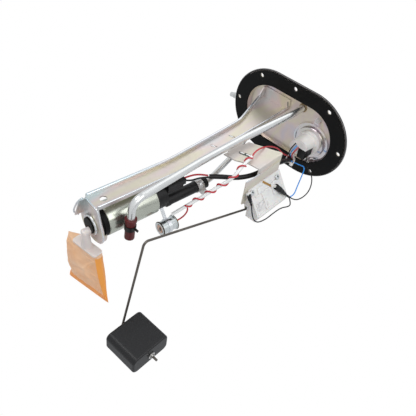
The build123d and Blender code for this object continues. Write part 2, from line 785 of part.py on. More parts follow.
slope_dir = Vector(21.5, 31.0, 0).normalized()
slope_out = Vector(31.0, -21.5, 0).normalized()
slope = Plane(origin=(slope_x, slope_y, 0), x_dir=slope_dir, z_dir=slope_out)
corner_x = slope_x + slope_dir.X * slope_len
corner_y = slope_y + slope_dir.Y * slope_len
housing_back = side_x + plate_t
pocket_x = arm_x + arm_r + 1.2
with BuildPart() as sender_housing:
    with BuildSketch(Plane.XY.offset(sender_low)):
        Polygon(
            (housing_back, slope_y), (slope_x, slope_y), (corner_x, corner_y), (corner_x - 2.5, corner_y + 8.5),
            (housing_back, corner_y + 8.5), align=None,
        )
    extrude(amount=sender_high - sender_low)
    with BuildSketch(Plane.XY.offset(-118)):
        Polygon((50.2, 14), (64.6, 34.7), (64.2, 44.8), (50.2, 44.8), align=None)
    extrude(amount=36, mode=Mode.SUBTRACT)
    with BuildSketch(Plane.XY.offset(sender_low + 1.8)):
        Polygon((54.1, 27), (59.4, 27), (66.9, 38.0), (65.4, 44.8), (54.1, 44.8), align=None)
    extrude(amount=30, mode=Mode.SUBTRACT)
    with BuildSketch(Plane.YZ.offset(housing_back)):
        with Locations((pivot_y, pivot_z)):
            Circle(4.2)
        Polygon(
            (pivot_y - 4.2, pivot_z), (pivot_y, pivot_z + 4.2), (60, pivot_z + 4.2), (60, sender_low - 5),
            (pivot_y - 12, sender_low - 5), align=None,
        )
    extrude(amount=pocket_x - housing_back, mode=Mode.SUBTRACT)
    with BuildSketch(Plane.YZ.offset(pocket_x)):
        with Locations((pivot_y, pivot_z)):
            Circle(2.6)
    extrude(amount=54.1 - pocket_x, mode=Mode.SUBTRACT)
    with BuildSketch(slope.offset(-7)):
        with Locations((6.7, -88.4), (5.0, -137.7)):
            Circle(1.6)
    extrude(amount=8, mode=Mode.SUBTRACT)
    with BuildSketch(slope):
        with Locations((14.9, -98.9)):
            Rectangle(3.6, 3.6, rotation=40)
    extrude(amount=4.4)
    with BuildSketch(slope):
        with Locations((24.0, -121.0)):
            Rectangle(22.0, 2.4)
        with Locations((12.6, -121.0)):
            Rectangle(1.8, 26.0)
        with Locations((36.6, -119.0)):
            Rectangle(2.0, 42.0)
        with Locations((22.5, -140.6)):
            Rectangle(27.0, 1.8)
    extrude(amount=1.2)
    with BuildSketch(Plane.XY.offset(sender_low)):
        with Locations((51.0, 9.2)):
            Rectangle(3.4, 3.4, rotation=55)
    extrude(amount=-5)
sender_housing.part.label = "sender_housing"
export_step(sender_housing.part, "parts/sender_housing.step")

with BuildPart() as resistor_card:
    with BuildSketch(Plane.YZ.offset(54.1)):
        with Locations((34.5, -122.0)):
            Rectangle(11.0, 15.0)
        with Locations((pivot_y, pivot_z)):
            Circle(7.0, mode=Mode.SUBTRACT)
    extrude(amount=1.0)
resistor_card.part.label = "resistor_card"
export_step(resistor_card.part, "parts/resistor_card.step")

with BuildPart() as pivot_bush:
    with BuildSketch(Plane.YZ.offset(pocket_x)):
        with Locations((pivot_y, pivot_z)):
            Circle(2.6)
            Circle(arm_r + 0.05, mode=Mode.SUBTRACT)
    extrude(amount=54.1 - pocket_x)
pivot_bush.part.label = "pivot_bush"
export_step(pivot_bush.part, "parts/pivot_bush.step")

with BuildPart() as wiper:
    with BuildSketch(Plane.YZ.offset(55.6)):
        with Locations((pivot_y, pivot_z)):
            Circle(2.5)
        Polygon(
            (pivot_y - 1.2, pivot_z + 1), (pivot_y + 1.2, pivot_z + 1), (pivot_y - 0.2, pivot_z + 13),
            (pivot_y - 2.2, pivot_z + 13), align=None,
        )
        with Locations((pivot_y, pivot_z)):
            Circle(arm_r, mode=Mode.SUBTRACT)
    extrude(amount=0.8)
    with BuildSketch(Plane.YZ.offset(55.3)):
        with Locations((pivot_y - 1.1, pivot_z + 11.6)):
            Circle(0.7)
    extrude(amount=0.4)
wiper.part.label = "wiper"
export_step(wiper.part, "parts/wiper.step")

with BuildPart() as sender_contact:
    with BuildSketch(slope):
        with Locations(Location((7.0, -108.0, 0), 46)):
            Rectangle(17.0, 2.6)
    extrude(amount=0.6)
sender_contact.part.label = "sender_contact"
export_step(sender_contact.part, "parts/sender_contact.step")

with BuildPart() as sender_screws:
    with BuildSketch(slope):
        with Locations((6.7, -88.4), (5.0, -137.7)):
            Circle(2.9)
    extrude(amount=1.8)
    with BuildSketch(slope.offset(1.8)):
        with Locations((6.7, -88.4), (5.0, -137.7)):
            Rectangle(4.4, 0.8)
            Rectangle(0.8, 4.4)
    extrude(amount=-0.8, mode=Mode.SUBTRACT)
    with BuildSketch(slope):
        with Locations((6.7, -88.4), (5.0, -137.7)):
            Circle(1.5)
    extrude(amount=-2.6)
sender_screws.part.label = "sender_screws"
export_step(sender_screws.part, "parts/sender_screws.step")

# Float arm: stub in the bush, long leg down, short leg forward, through the float
arm_route = [
    (57.5, pivot_y, pivot_z), (arm_x, pivot_y, pivot_z), (arm_x, -27.6, -311.0), (arm_x, float_y, float_z),
    (float_left + float_w + 9.0, float_y, float_z),
]
with BuildPart() as float_arm:
    with BuildLine() as arm_line:
        FilletPolyline(*arm_route, radius=[arm_r + 0.5, 5.0, arm_r + 0.2])
    with BuildSketch(Plane(origin=arm_line.line @ 0, z_dir=arm_line.line % 0)):
        Circle(arm_r)
    sweep()
float_arm.part.label = "float_arm"
export_step(float_arm.part, "parts/float_arm.step")

with BuildPart() as float_block:
    with BuildSketch(Plane.YZ.offset(float_left + 0.2)):
        with Locations((float_y, float_z)):
            RectangleRounded(float_t, float_h, 6.5)
    extrude(amount=float_w - 0.2)
    fillet(float_block.edges().filter_by(Plane.YZ), 2.2)
    with BuildSketch(Plane.YZ.offset(float_left)):
        with Locations((float_y, float_z)):
            Circle(arm_r + 0.15)
    extrude(amount=float_w, mode=Mode.SUBTRACT)
float_block.part.label = "float"
export_step(float_block.part, "parts/float.step")

with BuildPart() as float_nut:
    with BuildSketch(Plane.YZ.offset(float_left + float_w + 0.4)):
        with Locations((float_y, float_z)):
            Circle(4.2)
            Circle(arm_r, mode=Mode.SUBTRACT)
    extrude(amount=1.0)
    with BuildSketch(Plane.YZ.offset(float_left + float_w + 1.4)):
        with Locations((float_y, float_z)):
            Circle(2.6)
            Circle(arm_r, mode=Mode.SUBTRACT)
    extrude(amount=1.8)
float_nut.part.label = "float_nut"
export_step(float_nut.part, "parts/float_nut.step")

# Connector: retainer with two ears, screws, body, pins, plug block, ring terminal
with BuildPart() as connector_retainer:
    with BuildSketch(Plane.XY.offset(recess_h - 1.2)):
        with Locations((socket_x, socket_y)):
            Circle(retainer_r)
        with Locations(*ears):
            Circle(4.2)
        with Locations((41.7, -21.5)):
            Rectangle(8.4, 11.0)
    extrude(amount=1.2)
    with BuildSketch(Plane.XY.offset(recess_h - 1.2)):
        with Locations((socket_x, socket_y)):
            Circle(retainer_r)
            Circle(retainer_r - 2.4, mode=Mode.SUBTRACT)
    extrude(amount=-1.4)
    with BuildSketch(Plane.XY.offset(recess_h - 1.2)):
        with Locations(*ears):
            Circle(8.0)
    extrude(amount=-2, mode=Mode.SUBTRACT)
    with BuildSketch(Plane.XY.offset(recess_h)):
        with Locations((socket_x, socket_y)):
            Circle(dome_r + 1.2)
    extrude(amount=-5.4, taper=12)
    with BuildSketch(Plane.XY.offset(recess_h)):
        with Locations((socket_x, socket_y)):
            Circle(dome_r)
    extrude(amount=-4.2, taper=12, mode=Mode.SUBTRACT)
    with BuildSketch(Plane.XY.offset(recess_h)):
        with Locations((socket_x, socket_y)):
            Circle(socket_r + 0.3)
        with Locations(*ears):
            Circle(2.2)
    extrude(amount=-8, mode=Mode.SUBTRACT)
connector_retainer.part.label = "connector_retainer"
export_step(connector_retainer.part, "parts/connector_retainer.step")

with BuildPart() as connector_body:
    with BuildSketch(Plane.XY.offset(recess_h)):
        with Locations((socket_x, socket_y)):
            Circle(dome_r - 1.4)
    extrude(amount=-4.1)
    with BuildSketch(Plane.XY.offset(recess_h)):
        with Locations((socket_x, socket_y)):
            Circle(socket_r)
    extrude(amount=-9)
    with BuildSketch(Plane.XY.offset(recess_h - 9)):
        with Locations((socket_x - 3, socket_y - 1)):
            SlotOverall(29, 22, rotation=-35)
    extrude(amount=-19, taper=4)
    with BuildSketch(Plane.XY.offset(recess_h - 9)):
        with Locations(plug_spot):
            RectangleRounded(plug_size[0] + 2 * plug_gap, plug_size[1] + 2 * plug_gap, 1.5)
    extrude(amount=-20, mode=Mode.SUBTRACT)
    with BuildSketch(Plane.XY.offset(recess_h)):
        with Locations((socket_x, socket_y)):
            Circle(socket_r + 1.4)
    extrude(amount=18)
    with BuildSketch(Plane.XY.offset(recess_h + 5)):
        with Locations((socket_x, socket_y)):
            Circle(socket_r)
    extrude(amount=14, mode=Mode.SUBTRACT)
connector_body.part.label = "connector_body"
export_step(connector_body.part, "parts/connector_body.step")

with BuildPart() as connector_pins:
    with BuildSketch(Plane.XY.offset(recess_h + 5)):
        with Locations((socket_x, socket_y)):
            with PolarLocations(8, 5):
                Rectangle(2.8, 0.8)
    extrude(amount=9)
connector_pins.part.label = "connector_pins"
export_step(connector_pins.part, "parts/connector_pins.step")

with BuildPart() as connector_screws:
    with BuildSketch(Plane.XY.offset(recess_h - 1.2)):
        with Locations(ears[0]):
            Circle(3.4)
    extrude(amount=-2.2)
    with BuildSketch(Plane.XY.offset(recess_h - 2.0)):
        with Locations(ears[1]):
            Circle(3.4)
    extrude(amount=-2.2)
    with BuildSketch(Plane.XY.offset(recess_h - 2.0)):
        with Locations(*ears):
            Circle(2.0)
    extrude(amount=7)
connector_screws.part.label = "connector_screws"
export_step(connector_screws.part, "parts/connector_screws.step")

barrel_from = (ears[1][0] + 5.6, ears[1][1] - 0.4, recess_h - 2.1)
barrel_dir = Vector(0.5, 0.05, -0.86).normalized()
barrel_end = Vector(*barrel_from) + barrel_dir * 7.0
with BuildPart() as ring_terminal:
    with BuildSketch(Plane.XY.offset(recess_h - 2.0)):
        with Locations(ears[1]):
            Circle(4.0)
            Circle(2.2, mode=Mode.SUBTRACT)
        with Locations((ears[1][0] + 4.2, ears[1][1] - 0.4)):
            Rectangle(4.0, 2.6)
    extrude(amount=0.8)
    with BuildSketch(Plane(origin=barrel_from, z_dir=barrel_dir)):
        Circle(1.6)
    extrude(amount=7.0)
ring_terminal.part.label = "ring_terminal"
export_step(ring_terminal.part, "parts/ring_terminal.step")

with BuildPart() as harness_plug:
    with BuildSketch(Plane.XY.offset(recess_h - 9 - plug_gap)):
        with Locations(plug_spot):
            RectangleRounded(*plug_size, 1.5)
    extrude(amount=-18.4)
harness_plug.part.label = "harness_plug"
export_step(harness_plug.part, "parts/harness_plug.step")

# Boots over the sender terminals
boot_r = 2.3
right_boot = [Vector(61.3, 19.5, -97.3), Vector(73.4, 39.0, -79.0)]
left_boot = [Vector(52.0, 10.9, -144.2), Vector(59.6, 23.3, -144.2)]
with BuildPart() as boots:
    for one in (right_boot, left_boot):
        with BuildSketch(Plane(origin=one[0], z_dir=one[1] - one[0])):
            Circle(boot_r)
        extrude(amount=(one[1] - one[0]).length, taper=1.5)
    with BuildSketch(Plane(origin=right_boot[0], z_dir=right_boot[1] - right_boot[0])):
        Circle(3.3)
    extrude(amount=18, taper=4.5)
boots.part.label = "boots"
export_step(boots.part, "parts/boots.step")

# Cable tie round the bundle
tie_spot = Vector(30.3, 34.2, -20.6)
tie_dir = Vector(-0.145, 0.463, 0.875).normalized()
tie_side = Vector(1, 0, 0).cross(tie_dir).normalized()
tie_centre = tie_spot + tie_side * 1.5 - tie_dir * 1.0
with BuildPart() as cable_tie:
    with BuildSketch(Plane(origin=tie_centre, x_dir=tie_side, z_dir=tie_dir)):
        Circle(5.8)
        Circle(4.6, mode=Mode.SUBTRACT)
        with Locations(Location((6.6, 1.0, 0), 10)):
            Rectangle(4.4, 5.6)
    extrude(amount=-3)
cable_tie.part.label = "cable_tie"
export_step(cable_tie.part, "parts/cable_tie.step")

# Black sleeve over the pump leads, from the pump to the tie
sleeve_r = 3.0
sleeve_route = [
    (6.5, 0, -166), (16.0, 0, -154.6), (27.5, 0, -144.5), (36.0, 0, -130.5), (39.6, 1, -114), (39.5, 4, -90),
    (37.5, 13, -60), tuple(tie_spot),
]
sleeve_bends = bends("lead_sleeve", sleeve_route, 2 * sleeve_r * 5)
with BuildPart() as lead_sleeve:
    with BuildLine() as sleeve_line:
        FilletPolyline(*sleeve_route, radius=sleeve_bends)
    with BuildSketch(Plane(origin=sleeve_line.line @ 0, z_dir=sleeve_line.line % 0)):
        Circle(sleeve_r)
    sweep()
lead_sleeve.part.label = "lead_sleeve"
export_step(lead_sleeve.part, "parts/lead_sleeve.step")

# Pump leads from the plug into the sleeve
lead_r = 1.1
red_start = leg(plug_x - 1.6, plug_y, cap_top + 27.25)
black_start = leg(plug_x + 2.4, plug_y, cap_top + 27.25)
lead_red_route = [red_start, (-8.6, -1, -184), (-4.8, -1.4, -176.5), (0.2, -1.4, -171), (5.2, -1.3, -167)]
lead_red_bends = bends("pump_lead_red", lead_red_route, 2 * lead_r * 3)
with BuildPart() as pump_lead_red:
    with BuildLine() as lead_red_line:
        FilletPolyline(*lead_red_route, radius=lead_red_bends)
    with BuildSketch(Plane(origin=lead_red_line.line @ 0, z_dir=lead_red_line.line % 0)):
        Circle(lead_r)
    sweep()
pump_lead_red.part.label = "pump_lead_red"
export_step(pump_lead_red.part, "parts/pump_lead_red.step")

lead_black_route = [black_start, (-3.4, 1.2, -187.5), (-1.4, 1.6, -178.5), (1.6, 1.3, -172.6), (5.4, 1.3, -167.2)]
lead_black_bends = bends("pump_lead_black", lead_black_route, 2 * lead_r * 3)
with BuildPart() as pump_lead_black:
    with BuildLine() as lead_black_line:
        FilletPolyline(*lead_black_route, radius=lead_black_bends)
    with BuildSketch(Plane(origin=lead_black_line.line @ 0, z_dir=lead_black_line.line % 0)):
        Circle(lead_r)
    sweep()
pump_lead_black.part.label = "pump_lead_black"
export_step(pump_lead_black.part, "parts/pump_lead_black.step")

# White sleeve of the sensor lead
white_r = 2.1
white_route = [
    leg(1.8, 34.6, -218.5), (8.3, 23.4, -199.5), (15.6, 14.6, -184.5), (20.6, 7.2, -172.5), (26.6, -1.0, -163.5),
    (32.6, -9.0, -157.5), (33.9, -17.6, -149.5), (32.2, -20.9, -135.4), (29.2, -20.7, -119.5),
]
white_bends = bends("sensor_lead_sleeve", white_route, 2 * white_r * 3)
with BuildPart() as sensor_lead_sleeve:
    with BuildLine() as white_line:
        FilletPolyline(*white_route, radius=white_bends)
    with BuildSketch(Plane(origin=white_line.line @ 0, z_dir=white_line.line % 0)):
        Circle(white_r)
    sweep()
sensor_lead_sleeve.part.label = "sensor_lead_sleeve"
export_step(sensor_lead_sleeve.part, "parts/sensor_lead_sleeve.step")

# Red sensor wire: tail from the terminal, winding round the white sleeve, arc to the tie
thin_r = 0.8
tail_start = leg(can_x, can_y, can_high + 6.3)
tail_route = [tail_start, leg(6.5, 43.0, can_high + 12.5), (9.4, 34.0, -202.8), (9.07, 25.7, -197.9)]
tail_bends = bends("sensor_wire tail", tail_route, 2 * thin_r * 3)
arc_route = [
    (29.4, -22.9, -121.5), (27.0, -23.0, -110.2), (25.4, -20.0, -94.4), (23.1, -9.6, -71.6), (23.2, 4.4, -49.6),
    (25.8, 18.5, -38.0), (27.84, 31.18, -20.14),
]
arc_bends = bends("sensor_wire arc", arc_route, 2 * thin_r * 3)
with BuildPart() as sensor_wire:
    with BuildLine() as wind_line:
        FilletPolyline(*white_route[1:], radius=white_bends[1:])
    with BuildSketch(Plane(origin=wind_line.line @ 0, z_dir=wind_line.line % 0)):
        Circle(white_r + 2 * thin_r)
        Circle(white_r + 0.15, mode=Mode.SUBTRACT)
    sweep()
    with BuildLine() as tail_line:
        FilletPolyline(*tail_route, radius=tail_bends)
    with BuildSketch(Plane(origin=tail_line.line @ 0, z_dir=tail_line.line % 0)):
        Circle(thin_r)
    sweep()
    with BuildLine() as arc_line:
        FilletPolyline(*arc_route, radius=arc_bends)
    with BuildSketch(Plane(origin=arc_line.line @ 0, z_dir=arc_line.line % 0)):
        Circle(thin_r)
    sweep()
sensor_wire.part.label = "sensor_wire"
export_step(sensor_wire.part, "parts/sensor_wire.step")

# Blue sender wire, from the tie to the right boot
wire_r = 0.75
blue_route = [
    (34.3, 31.8, -25.0), (46.0, 31.4, -23.6), (56.6, 28.4, -24.0), (63.0, 31.6, -40.0), (69.4, 35.4, -58.0),
    (74.4, 39.8, -70.5), (73.1, 38.5, -78.0),
]
blue_bends = bends("sender_wire_blue", blue_route, 2 * wire_r * 3)
with BuildPart() as sender_wire_blue:
    with BuildLine() as blue_line:
        FilletPolyline(*blue_route, radius=blue_bends)
    with BuildSketch(Plane(origin=blue_line.line @ 0, z_dir=blue_line.line % 0)):
        Circle(wire_r)
    sweep()
sender_wire_blue.part.label = "sender_wire_blue"
export_step(sender_wire_blue.part, "parts/sender_wire_blue.step")

# Black sender wire, from the ring terminal to the right boot
ground_route = [
    tuple(barrel_end + barrel_dir * 0.05), (54.0, 36.4, -12.5), (65.0, 38.6, -17.0), (74.2, 41.6, -27.0),
    (80.6, 45.2, -42.0), (81.8, 46.0, -59.0), (78.6, 44.2, -73.0), (74.5, 38.4, -78.8),
]
ground_bends = bends("sender_wire_black", ground_route, 2 * wire_r * 3)
with BuildPart() as sender_wire_black:
    with BuildLine() as ground_line:
        FilletPolyline(*ground_route, radius=ground_bends)
    with BuildSketch(Plane(origin=ground_line.line @ 0, z_dir=ground_line.line % 0)):
        Circle(wire_r)
    sweep()
sender_wire_black.part.label = "sender_wire_black"
export_step(sender_wire_black.part, "parts/sender_wire_black.step")

# Black link wire, from boot to boot
link_route = [
    (74.1, 39.9, -79.6), (78.6, 45.6, -80.5), (80.2, 47.2, -88.2), (77.0, 44.4, -100.0), (74.8, 43.4, -115.0), (74.8, 44.6, -129.0),
    (71.4, 43.4, -145.0), (65.0, 32.4, -148.0), (59.8, 23.7, -144.4),
]
link_bends = bends("sender_wire_link", link_route, 2 * wire_r * 3)
with BuildPart() as sender_wire_link:
    with BuildLine() as link_line:
        FilletPolyline(*link_route, radius=link_bends)
    with BuildSketch(Plane(origin=link_line.line @ 0, z_dir=link_line.line % 0)):
        Circle(wire_r)
    sweep()
sender_wire_link.part.label = "sender_wire_link"
export_step(sender_wire_link.part, "parts/sender_wire_link.step")

# Three short leads from the connector to the tie
plain_face = recess_h - 28.3
lead_a_route = [(33.6, 2.0, plain_face), (32.6, 6.0, -31.5), (30.0, 18.0, -31.5), (29.54, 30.38, -19.72)]
lead_a_bends = bends("connector_lead_black", lead_a_route, 2 * wire_r * 3)
with BuildPart() as connector_lead_black:
    with BuildLine() as lead_a_line:
        FilletPolyline(*lead_a_route, radius=lead_a_bends)
    with BuildSketch(Plane(origin=lead_a_line.line @ 0, z_dir=lead_a_line.line % 0)):
        Circle(wire_r)
    sweep()
connector_lead_black.part.label = "connector_lead_black"
export_step(connector_lead_black.part, "parts/connector_lead_black.step")

lead_b_route = [(36.2, 4.0, plain_face), (35.4, 8.0, -31.0), (32.0, 19.0, -30.4), (31.24, 30.36, -19.7)]
lead_b_bends = bends("connector_lead_blue", lead_b_route, 2 * wire_r * 3)
with BuildPart() as connector_lead_blue:
    with BuildLine() as lead_b_line:
        FilletPolyline(*lead_b_route, radius=lead_b_bends)
    with BuildSketch(Plane(origin=lead_b_line.line @ 0, z_dir=lead_b_line.line % 0)):
        Circle(wire_r)
    sweep()
connector_lead_blue.part.label = "connector_lead_blue"
export_step(connector_lead_blue.part, "parts/connector_lead_blue.step")

lead_c_route = [(38.8, 6.0, plain_face), (38.2, 10.0, -30.4), (34.2, 20.0, -29.2), (32.94, 31.09, -20.1)]
lead_c_bends = bends("connector_lead_red", lead_c_route, 2 * wire_r * 3)
with BuildPart() as connector_lead_red:
    with BuildLine() as lead_c_line:
        FilletPolyline(*lead_c_route, radius=lead_c_bends)
    with BuildSketch(Plane(origin=lead_c_line.line @ 0, z_dir=lead_c_line.line % 0)):
        Circle(wire_r)
    sweep()
connector_lead_red.part.label = "connector_lead_red"
export_step(connector_lead_red.part, "parts/connector_lead_red.step")
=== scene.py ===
import bpy
import bmesh
import math
from mathutils import Matrix, Vector


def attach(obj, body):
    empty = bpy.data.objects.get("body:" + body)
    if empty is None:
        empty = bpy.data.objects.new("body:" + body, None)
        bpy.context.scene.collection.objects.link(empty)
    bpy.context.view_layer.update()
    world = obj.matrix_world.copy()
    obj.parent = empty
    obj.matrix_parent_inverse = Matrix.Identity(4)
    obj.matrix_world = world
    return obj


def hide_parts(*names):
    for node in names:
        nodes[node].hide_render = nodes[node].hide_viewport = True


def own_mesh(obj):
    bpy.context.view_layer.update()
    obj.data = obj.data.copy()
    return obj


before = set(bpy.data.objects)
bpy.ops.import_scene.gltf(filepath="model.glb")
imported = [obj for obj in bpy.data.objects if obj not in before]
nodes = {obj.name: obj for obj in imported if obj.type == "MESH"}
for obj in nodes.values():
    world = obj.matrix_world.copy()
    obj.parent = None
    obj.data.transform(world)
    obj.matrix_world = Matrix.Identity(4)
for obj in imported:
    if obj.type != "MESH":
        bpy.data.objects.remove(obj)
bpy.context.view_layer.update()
mm = 0.001


# Shader maths: a socket that takes + - * / and links itself
class Wave:
    def __init__(self, tree, socket):
        self.tree = tree
        self.socket = socket

    def join(self, operation, other=None, swapped=False):
        maths = self.tree.nodes.new("ShaderNodeMath")
        maths.operation = operation
        pair = (other, self) if swapped else (self, other)
        for slot, value in zip(maths.inputs, pair):
            if isinstance(value, Wave):
                self.tree.links.new(value.socket, slot)
            elif value is not None:
                slot.default_value = value
        return Wave(self.tree, maths.outputs[0])

    def __add__(self, other):
        return self.join("ADD", other)

    def __radd__(self, other):
        return self.join("ADD", other, True)

    def __sub__(self, other):
        return self.join("SUBTRACT", other)

    def __rsub__(self, other):
        return self.join("SUBTRACT", other, True)

    def __mul__(self, other):
        return self.join("MULTIPLY", other)

    def __rmul__(self, other):
        return self.join("MULTIPLY", other, True)

    def __truediv__(self, other):
        return self.join("DIVIDE", other)

    def power(self, other):
        return self.join("POWER", other)

    def above(self, other):
        return self.join("GREATER_THAN", other)

    def clamp(self):
        capped = self.join("ADD", 0.0)
        capped.socket.node.use_clamp = True
        return capped


# A material whose patterns lie in the object's own coordinates
class Finish:
    def __init__(self, name, colour, rough, metal=0.0, coat=0.0, sheen=0.0, through=0.0, sub=0.0, gloss=0.5):
        self.material = bpy.data.materials.new(name)
        self.material.use_nodes = True
        self.tree = self.material.node_tree
        self.shader = self.tree.nodes["Principled BSDF"]
        self.put("Base Color", (*colour, 1))
        self.put("Roughness", rough)
        self.put("Metallic", metal)
        self.put("Coat Weight", coat)
        self.put("Sheen Weight", sheen)
        self.put("Transmission Weight", through)
        self.put("Subsurface Weight", sub)
        self.put("Specular IOR Level", gloss)
        self.place = self.add("TexCoord", out="Object")

    def put(self, name, value):
        if isinstance(value, Wave):
            self.tree.links.new(value.socket, self.shader.inputs[name])
        else:
            self.shader.inputs[name].default_value = value

    def add(self, kind, settings=None, out=0, **sockets):
        made = self.tree.nodes.new("ShaderNode" + kind)
        for key, value in (settings or {}).items():
            if key == "stops":
                while len(made.color_ramp.elements) < len(value):
                    made.color_ramp.elements.new(0.5)
                for stop, (spot, shade) in zip(made.color_ramp.elements, value):
                    stop.position = spot
                    stop.color = (*shade, 1)
            else:
                setattr(made, key, value)
        for key, value in sockets.items():
            slot = made.inputs[int(key[1:])] if key[0] == "s" and key[1:].isdigit() else made.inputs[key]
            if isinstance(value, Wave):
                self.tree.links.new(value.socket, slot)
            else:
                slot.default_value = value
        return Wave(self.tree, made.outputs[out])

    def grain(self, scale, detail=3.0, where=None):
        return self.add("TexNoise", Vector=where or self.place, Scale=scale, Detail=detail)

    def ramp(self, factor, *stops):
        return self.add("ValToRGB", {"stops": stops}, Fac=factor)

    def blend(self, factor, first, second):
        return self.add("Mix", {"data_type": "RGBA"}, out=2, s0=factor, s6=first, s7=second)

    def bump(self, height, strength, distance=0.0005):
        self.put("Normal", self.add("Bump", Height=height, Strength=strength, Distance=distance))


# Passivated zinc: clouds of three tints under a fine grain
zinc = {
    "pink": (0.70, 0.61, 0.59), "gold": (0.70, 0.66, 0.52), "ice": (0.58, 0.64, 0.64), "rough": 0.33, "metal": 0.76,
    "cloudScale": (34.0, 20.0, 7.0), "spotScale": 60.0, "grainScale": 1100.0, "dulled": 0.82,
}


def zincFinish(name, pink=None, gold=None, ice=None, rough=None, metal=None, turn=0.0):
    pink = pink or zinc["pink"]
    gold = gold or zinc["gold"]
    ice = ice or zinc["ice"]
    rough = rough or zinc["rough"]
    made = Finish(name, pink, rough, metal=metal or zinc["metal"])
    drawn = made.add("Mapping", Vector=made.place, Rotation=(0, turn, 0), Scale=zinc["cloudScale"])
    cloud = made.grain(1.0, 2.0, drawn)
    spots = made.grain(zinc["spotScale"], 2.0)
    tint = made.ramp(cloud, (0.34, ice), (0.46, pink), (0.54, gold), (0.64, pink))
    fine = made.grain(zinc["grainScale"], 2.0)
    dull = made.blend((spots - 0.45) * 0.6, tint, (*[c * zinc["dulled"] for c in pink], 1))
    made.put("Base Color", dull)
    made.put("Roughness", rough + (fine - 0.5) * 0.12 + (cloud - 0.5) * 0.16)
    made.bump(fine, 0.08, 0.0002)
    return made


def paintedFinish(name, colour, rough, spread=0.15, size=400.0, bumpy=0.15, metal=0.0, coat=0.0, **more):
    made = Finish(name, colour, rough, metal=metal, coat=coat, **more)
    speck = made.grain(size, 3.0)
    cloud = made.grain(30.0, 2.0)
    dark = tuple(c * (1 - spread) for c in colour)
    light = tuple(min(1.0, c * (1 + spread)) for c in colour)
    made.put("Base Color", made.ramp(cloud * 0.6 + speck * 0.4, (0.35, dark), (0.65, light)))
    made.put("Roughness", (rough + (speck - 0.5) * 0.16).clamp())
    made.bump(speck, bumpy, 0.0003)
    return made


finishes = {}
finishes["zincPlate"] = zincFinish("zincPlate", turn=-0.126)
finishes["zincFlange"] = zincFinish(
    "zincFlange", pink=(0.72, 0.62, 0.59), gold=(0.72, 0.66, 0.53), ice=(0.62, 0.58, 0.65), rough=0.34
)
finishes["zincBracket"] = zincFinish(
    "zincBracket", pink=(0.68, 0.61, 0.56), gold=(0.68, 0.65, 0.54), ice=(0.62, 0.60, 0.58), rough=0.45, metal=0.45
)
finishes["retainerMetal"] = zincFinish(
    "retainerMetal", pink=(0.74, 0.69, 0.71), gold=(0.72, 0.70, 0.64), ice=(0.68, 0.74, 0.78), rough=0.13, metal=1.0
)
finishes["drawnSteel"] = paintedFinish("drawnSteel", (0.80, 0.81, 0.80), 0.24, 0.04, 20.0, 0.0, metal=0.95)
# A whiter, bluer copy of the zinc: painted highlight on the rolled edges, also worn by the sensor bracket
finishes["highlightZinc"] = zincFinish(
    "highlightZinc", pink=(0.80, 0.80, 0.84), gold=(0.80, 0.84, 0.84), ice=(0.72, 0.82, 0.86), rough=0.24, metal=0.9
)
finishes["copperDisc"] = paintedFinish("copperDisc", (0.62, 0.42, 0.33), 0.25, 0.3, 300.0, 0.1, metal=0.9)
# Darkened steel for the flange's rounded edge: painted shade
finishes["rimShadeSteel"] = paintedFinish("rimShadeSteel", (0.24, 0.23, 0.23), 0.3, 0.2, 300.0, 0.1, metal=0.8)
finishes["agedBrass"] = paintedFinish("agedBrass", (0.07, 0.05, 0.03), 0.22, 0.5, 260.0, 0.1, metal=0.9)
finishes["chromeSteel"] = paintedFinish("chromeSteel", (0.75, 0.77, 0.78), 0.12, 0.04, 40.0, 0.0, metal=1.0)
finishes["brightSteel"] = paintedFinish("brightSteel", (0.60, 0.59, 0.57), 0.25, 0.10, 700.0, 0.08, metal=0.95)
finishes["shellMetal"] = paintedFinish("shellMetal", (0.52, 0.54, 0.47), 0.24, 0.06, 90.0, 0.04, metal=0.9)
finishes["canMetal"] = paintedFinish("canMetal", (0.70, 0.74, 0.74), 0.16, 0.06, 300.0, 0.05, metal=0.95)
finishes["gasketRubber"] = paintedFinish("gasketRubber", (0.004, 0.004, 0.004), 0.5, 0.2, 1200.0, 0.15, gloss=0.14)
finishes["blackMoulding"] = paintedFinish("blackMoulding", (0.007, 0.007, 0.007), 0.36, 0.2, 900.0, 0.12, gloss=0.3)
finishes["hoseBlack"] = paintedFinish("hoseBlack", (0.008, 0.008, 0.008), 0.40, 0.2, 600.0, 0.15, gloss=0.3)
finishes["hoseRed"] = paintedFinish("hoseRed", (0.085, 0.006, 0.007), 0.42, 0.25, 500.0, 0.2, gloss=0.4)
finishes["floatFoam"] = paintedFinish("floatFoam", (0.011, 0.011, 0.012), 0.40, 0.10, 2600.0, 0.05, gloss=0.35)
finishes["whiteMoulding"] = paintedFinish("whiteMoulding", (0.76, 0.725, 0.70), 0.30, 0.08, 110.0, 0.35, sub=0.1)
finishes["milkMoulding"] = paintedFinish(
    "milkMoulding", (0.92, 0.81, 0.76), 0.40, 0.04, 200.0, 0.06, sub=0.1, through=0.15
)
finishes["contactBrass"] = paintedFinish("contactBrass", (0.52, 0.30, 0.10), 0.32, 0.2, 600.0, 0.1, metal=0.85)
finishes["armSteel"] = paintedFinish("armSteel", (0.13, 0.115, 0.10), 0.36, 0.25, 300.0, 0.1, metal=0.8)
finishes["wireRed"] = paintedFinish("wireRed", (0.50, 0.022, 0.035), 0.36, 0.1, 500.0, 0.08)
finishes["wireBlue"] = paintedFinish("wireBlue", (0.03, 0.27, 0.74), 0.36, 0.1, 500.0, 0.08)
finishes["wireBlack"] = paintedFinish("wireBlack", (0.007, 0.007, 0.007), 0.36, 0.1, 500.0, 0.08, gloss=0.3)
finishes["clearSleeve"] = paintedFinish("clearSleeve", (0.80, 0.81, 0.80), 0.22, 0.04, 300.0, 0.08, coat=0.4)
finishes["brazeGold"] = paintedFinish("brazeGold", (0.45, 0.34, 0.20), 0.45, 0.2, 500.0, 0.3, metal=0.7)
